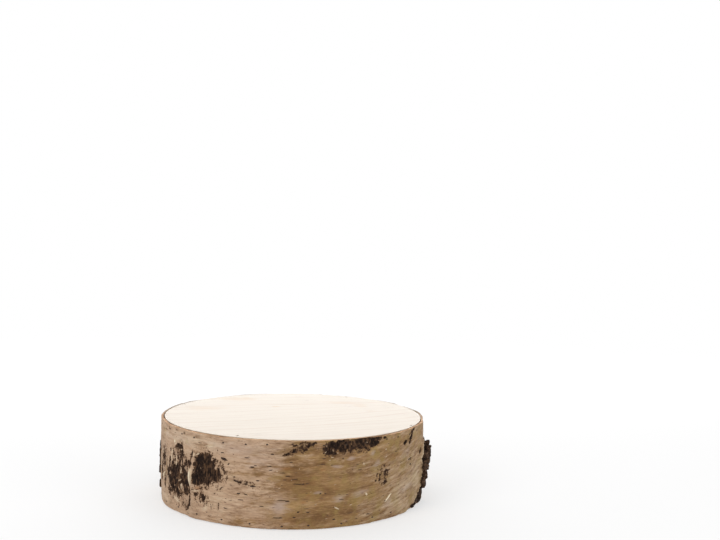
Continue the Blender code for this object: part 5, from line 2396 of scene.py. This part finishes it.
@dataclass
class PhotoCamera:
    """The camera that sees the drum as the low photo does.

    The focal length and the place of the drum's middle in the picture are in picture pixels.
    """

    focal: float = 921.5
    distance: float = 1088.9
    elevation: float = 12.584
    aim_height: float = 45.0
    seen_x: float = 297.06
    seen_y: float = 453.48
    roll: float = 1.359
    picture_wide: float = 720.0
    picture_tall: float = 540.0
    sensor: float = 36.0
    nearest: float = 0.01
    farthest: float = 100.0

    def build(self) -> bpy.types.Object:
        """Make the camera and use it for the scene.

        Returns:
            The camera.
        """
        rise = math.radians(self.elevation)
        back, up = self.distance * math.cos(rise), self.distance * math.sin(rise)
        place = Vector((0.0, -back, up + self.aim_height))
        aside = math.atan((self.seen_x - 0.5 * self.picture_wide) / self.focal)
        below = math.atan((self.seen_y - 0.5 * self.picture_tall) / self.focal)
        azimuth, climb = -aside, below - rise
        level = math.cos(climb)
        ahead = Vector((level * math.sin(azimuth), level * math.cos(azimuth), math.sin(climb)))
        right = ahead.cross(Vector((0.0, 0.0, 1.0))).normalized()
        up = right.cross(ahead)
        turn = math.radians(self.roll)
        rolled_right = math.cos(turn) * right + math.sin(turn) * up
        rolled_up = math.cos(turn) * up - math.sin(turn) * right
        data = bpy.data.cameras.new("photo_camera")
        data.sensor_width = self.sensor
        data.lens = self.focal * self.sensor / self.picture_wide
        data.clip_start, data.clip_end = self.nearest, self.farthest
        camera = bpy.data.objects.new("photo_camera", data)
        bpy.context.scene.collection.objects.link(camera)
        turned = Matrix((rolled_right, rolled_up, -ahead)).transposed()
        camera.matrix_world = Matrix.Translation(place * MM) @ turned.to_4x4()
        bpy.context.scene.camera = camera
        return camera


@dataclass(frozen=True)
class Softbox:
    """A soft rectangular light: its place, what it is aimed at, its size and its power."""

    name: str
    place: tuple[float, float, float]
    aim: tuple[float, float, float]
    wide: float
    tall: float
    power: float

    def build(self) -> bpy.types.Object:
        """Make the light, unseen by the camera.

        Returns:
            The light.
        """
        data = bpy.data.lights.new(self.name, "AREA")
        data.shape = "RECTANGLE"
        data.size, data.size_y = self.wide, self.tall
        data.energy = self.power
        light = bpy.data.objects.new(self.name, data)
        bpy.context.scene.collection.objects.link(light)
        light.location = self.place
        toward = Vector(self.aim) - Vector(self.place)
        light.rotation_euler = toward.to_track_quat("-Z", "Y").to_euler()
        light.visible_camera = False
        return light


@dataclass
class Studio:
    """Plain pale floor and soft light from all round."""

    floor_half: float = 1.85
    floor_fade: float = 1.0
    floor_drop: float = 0.0002
    floor_tone: float = 0.93
    floor_glow: float = 0.5
    floor_roughness: float = 0.9
    floor_shine: float = 0.1
    sky: float = 0.72
    softboxes: tuple[Softbox, ...] = (
        Softbox("key_front_left", (-1.2, -1.35, 0.95), (0.0, 0.0, 0.05), 0.9, 0.9, 11.0),
        Softbox("fill_front_right", (1.4, -1.2, 0.7), (0.0, 0.0, 0.05), 1.0, 0.8, 6.0),
        Softbox("back_panel", (0.0, 1.9, 0.62), (0.0, 0.0, 0.09), 3.2, 1.1, 28.0),
    )

    def build(self) -> None:
        """Make the floor, the lights and the white surroundings."""
        bpy.context.scene.view_settings.view_transform = "Standard"
        self.build_floor()
        for softbox in self.softboxes:
            softbox.build()
        self.build_sky()
        LOG.info("studio built with %d softboxes", len(self.softboxes))

    def build_floor(self) -> None:
        """Make the floor, which is seen only from above."""
        half, low = self.floor_half, -self.floor_drop
        corners = [(-half, -half, low), (half, -half, low), (half, half, low), (-half, half, low)]
        material, graph, shader = new_material("studio_floor")
        tone = (self.floor_tone, self.floor_tone, self.floor_tone, 1.0)
        graph.give(
            shader, Base_Color=tone, Roughness=self.floor_roughness, Specular_IOR_Level=self.floor_shine
        )
        glow = graph.add("ShaderNodeEmission")
        seen = graph.add("ShaderNodeLightPath").outputs["Is Camera Ray"]
        glowing = graph.times(seen, self.floor_glow)
        lit = graph.add("ShaderNodeMixShader", glowing, shader.outputs[0], glow.outputs[0])
        away = graph.vector("LENGTH", graph.object_places())
        fade = graph.span(away, self.floor_fade, self.floor_half)
        hidden = graph.math("MAXIMUM", fade, graph.add("ShaderNodeNewGeometry").outputs["Backfacing"])
        clear = graph.add("ShaderNodeBsdfTransparent")
        pick = graph.add("ShaderNodeMixShader", hidden, lit.outputs[0], clear.outputs[0])
        graph.give(material.node_tree.nodes["Material Output"], Surface=pick.outputs[0])
        floor = new_piece("studio_floor", corners, [(0, 1, 2, 3)], material)

    def build_sky(self) -> None:
        """Make the surroundings: plain white to the camera, and softer as light."""
        world = bpy.data.worlds.new("white_surroundings")
        world.use_nodes = True
        bpy.context.scene.world = world
        graph = Graph(world.node_tree)
        background = world.node_tree.nodes["Background"]
        background.inputs["Color"].default_value = (1.0, 1.0, 1.0, 1.0)
        seen = graph.add("ShaderNodeLightPath").outputs["Is Camera Ray"]
        graph.feed(background.inputs["Strength"], graph.span(seen, 0.0, 1.0, self.sky, 1.0))


def clear_start() -> None:
    """Remove what a new file holds."""
    for thing in list(bpy.data.objects):
        bpy.data.objects.remove(thing, do_unlink=True)


def settle(piece: bpy.types.Object) -> bpy.types.Object:
    """Let a piece ride on the drum and log its name and number of faces.

    Args:
        piece: The piece.

    Returns:
        The piece.
    """
    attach(piece, BODY)
    LOG.info("%s: %d faces", piece.name, len(piece.data.polygons))
    return piece


def build_bark(effects: SharedEffects) -> None:
    """Build the bark sheet and everything that stands on it.

    Args:
        effects: The shared groups.
    """
    bark = BarkWrap()
    sheet = settle(bark.build(BarkFinish().build(effects)))
    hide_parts("bark_wrap")
    cork = CorkFinish().build(effects)
    film_tones = (paint(66, 46, 34), paint(168, 140, 112), paint(222, 206, 178))
    flake = FlakeFinish("film_flakes", *film_tones).build(effects)
    dash_tones = (paint(44, 32, 26), paint(92, 70, 54), paint(142, 112, 84))
    dash = FlakeFinish("lenticel_cork", *dash_tones, roughness=0.85).build(effects)
    settle(Lenticels().build(bark, dash))
    settle(PaleFlecks().build(bark, flake))
    lumps = CorkLumps()
    settle(lumps.build("seam_cork", lumps.seam, cork))
    settle(lumps.build("left_cork", lumps.left, cork))
    curls = LooseCurls()
    settle(curls.build("rim_curls", curls.rim, bark, flake))
    brad_steel = SteelFinish("brad_steel", paint(70, 62, 56), paint(64, 42, 28)).build(effects)
    for row in BradHeads(BradRows()).build(bark, brad_steel):
        settle(row)


def main() -> None:
    """Build the looks round the frame."""
    logging.basicConfig(level=logging.INFO, format="%(message)s")
    clear_start()
    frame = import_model()
    effects = SharedEffects()
    Boards().dress(frame["nodes"], effects)
    build_bark(effects)
    Studio().build()
    PhotoCamera().build()


if __name__ == "__main__":
    main()
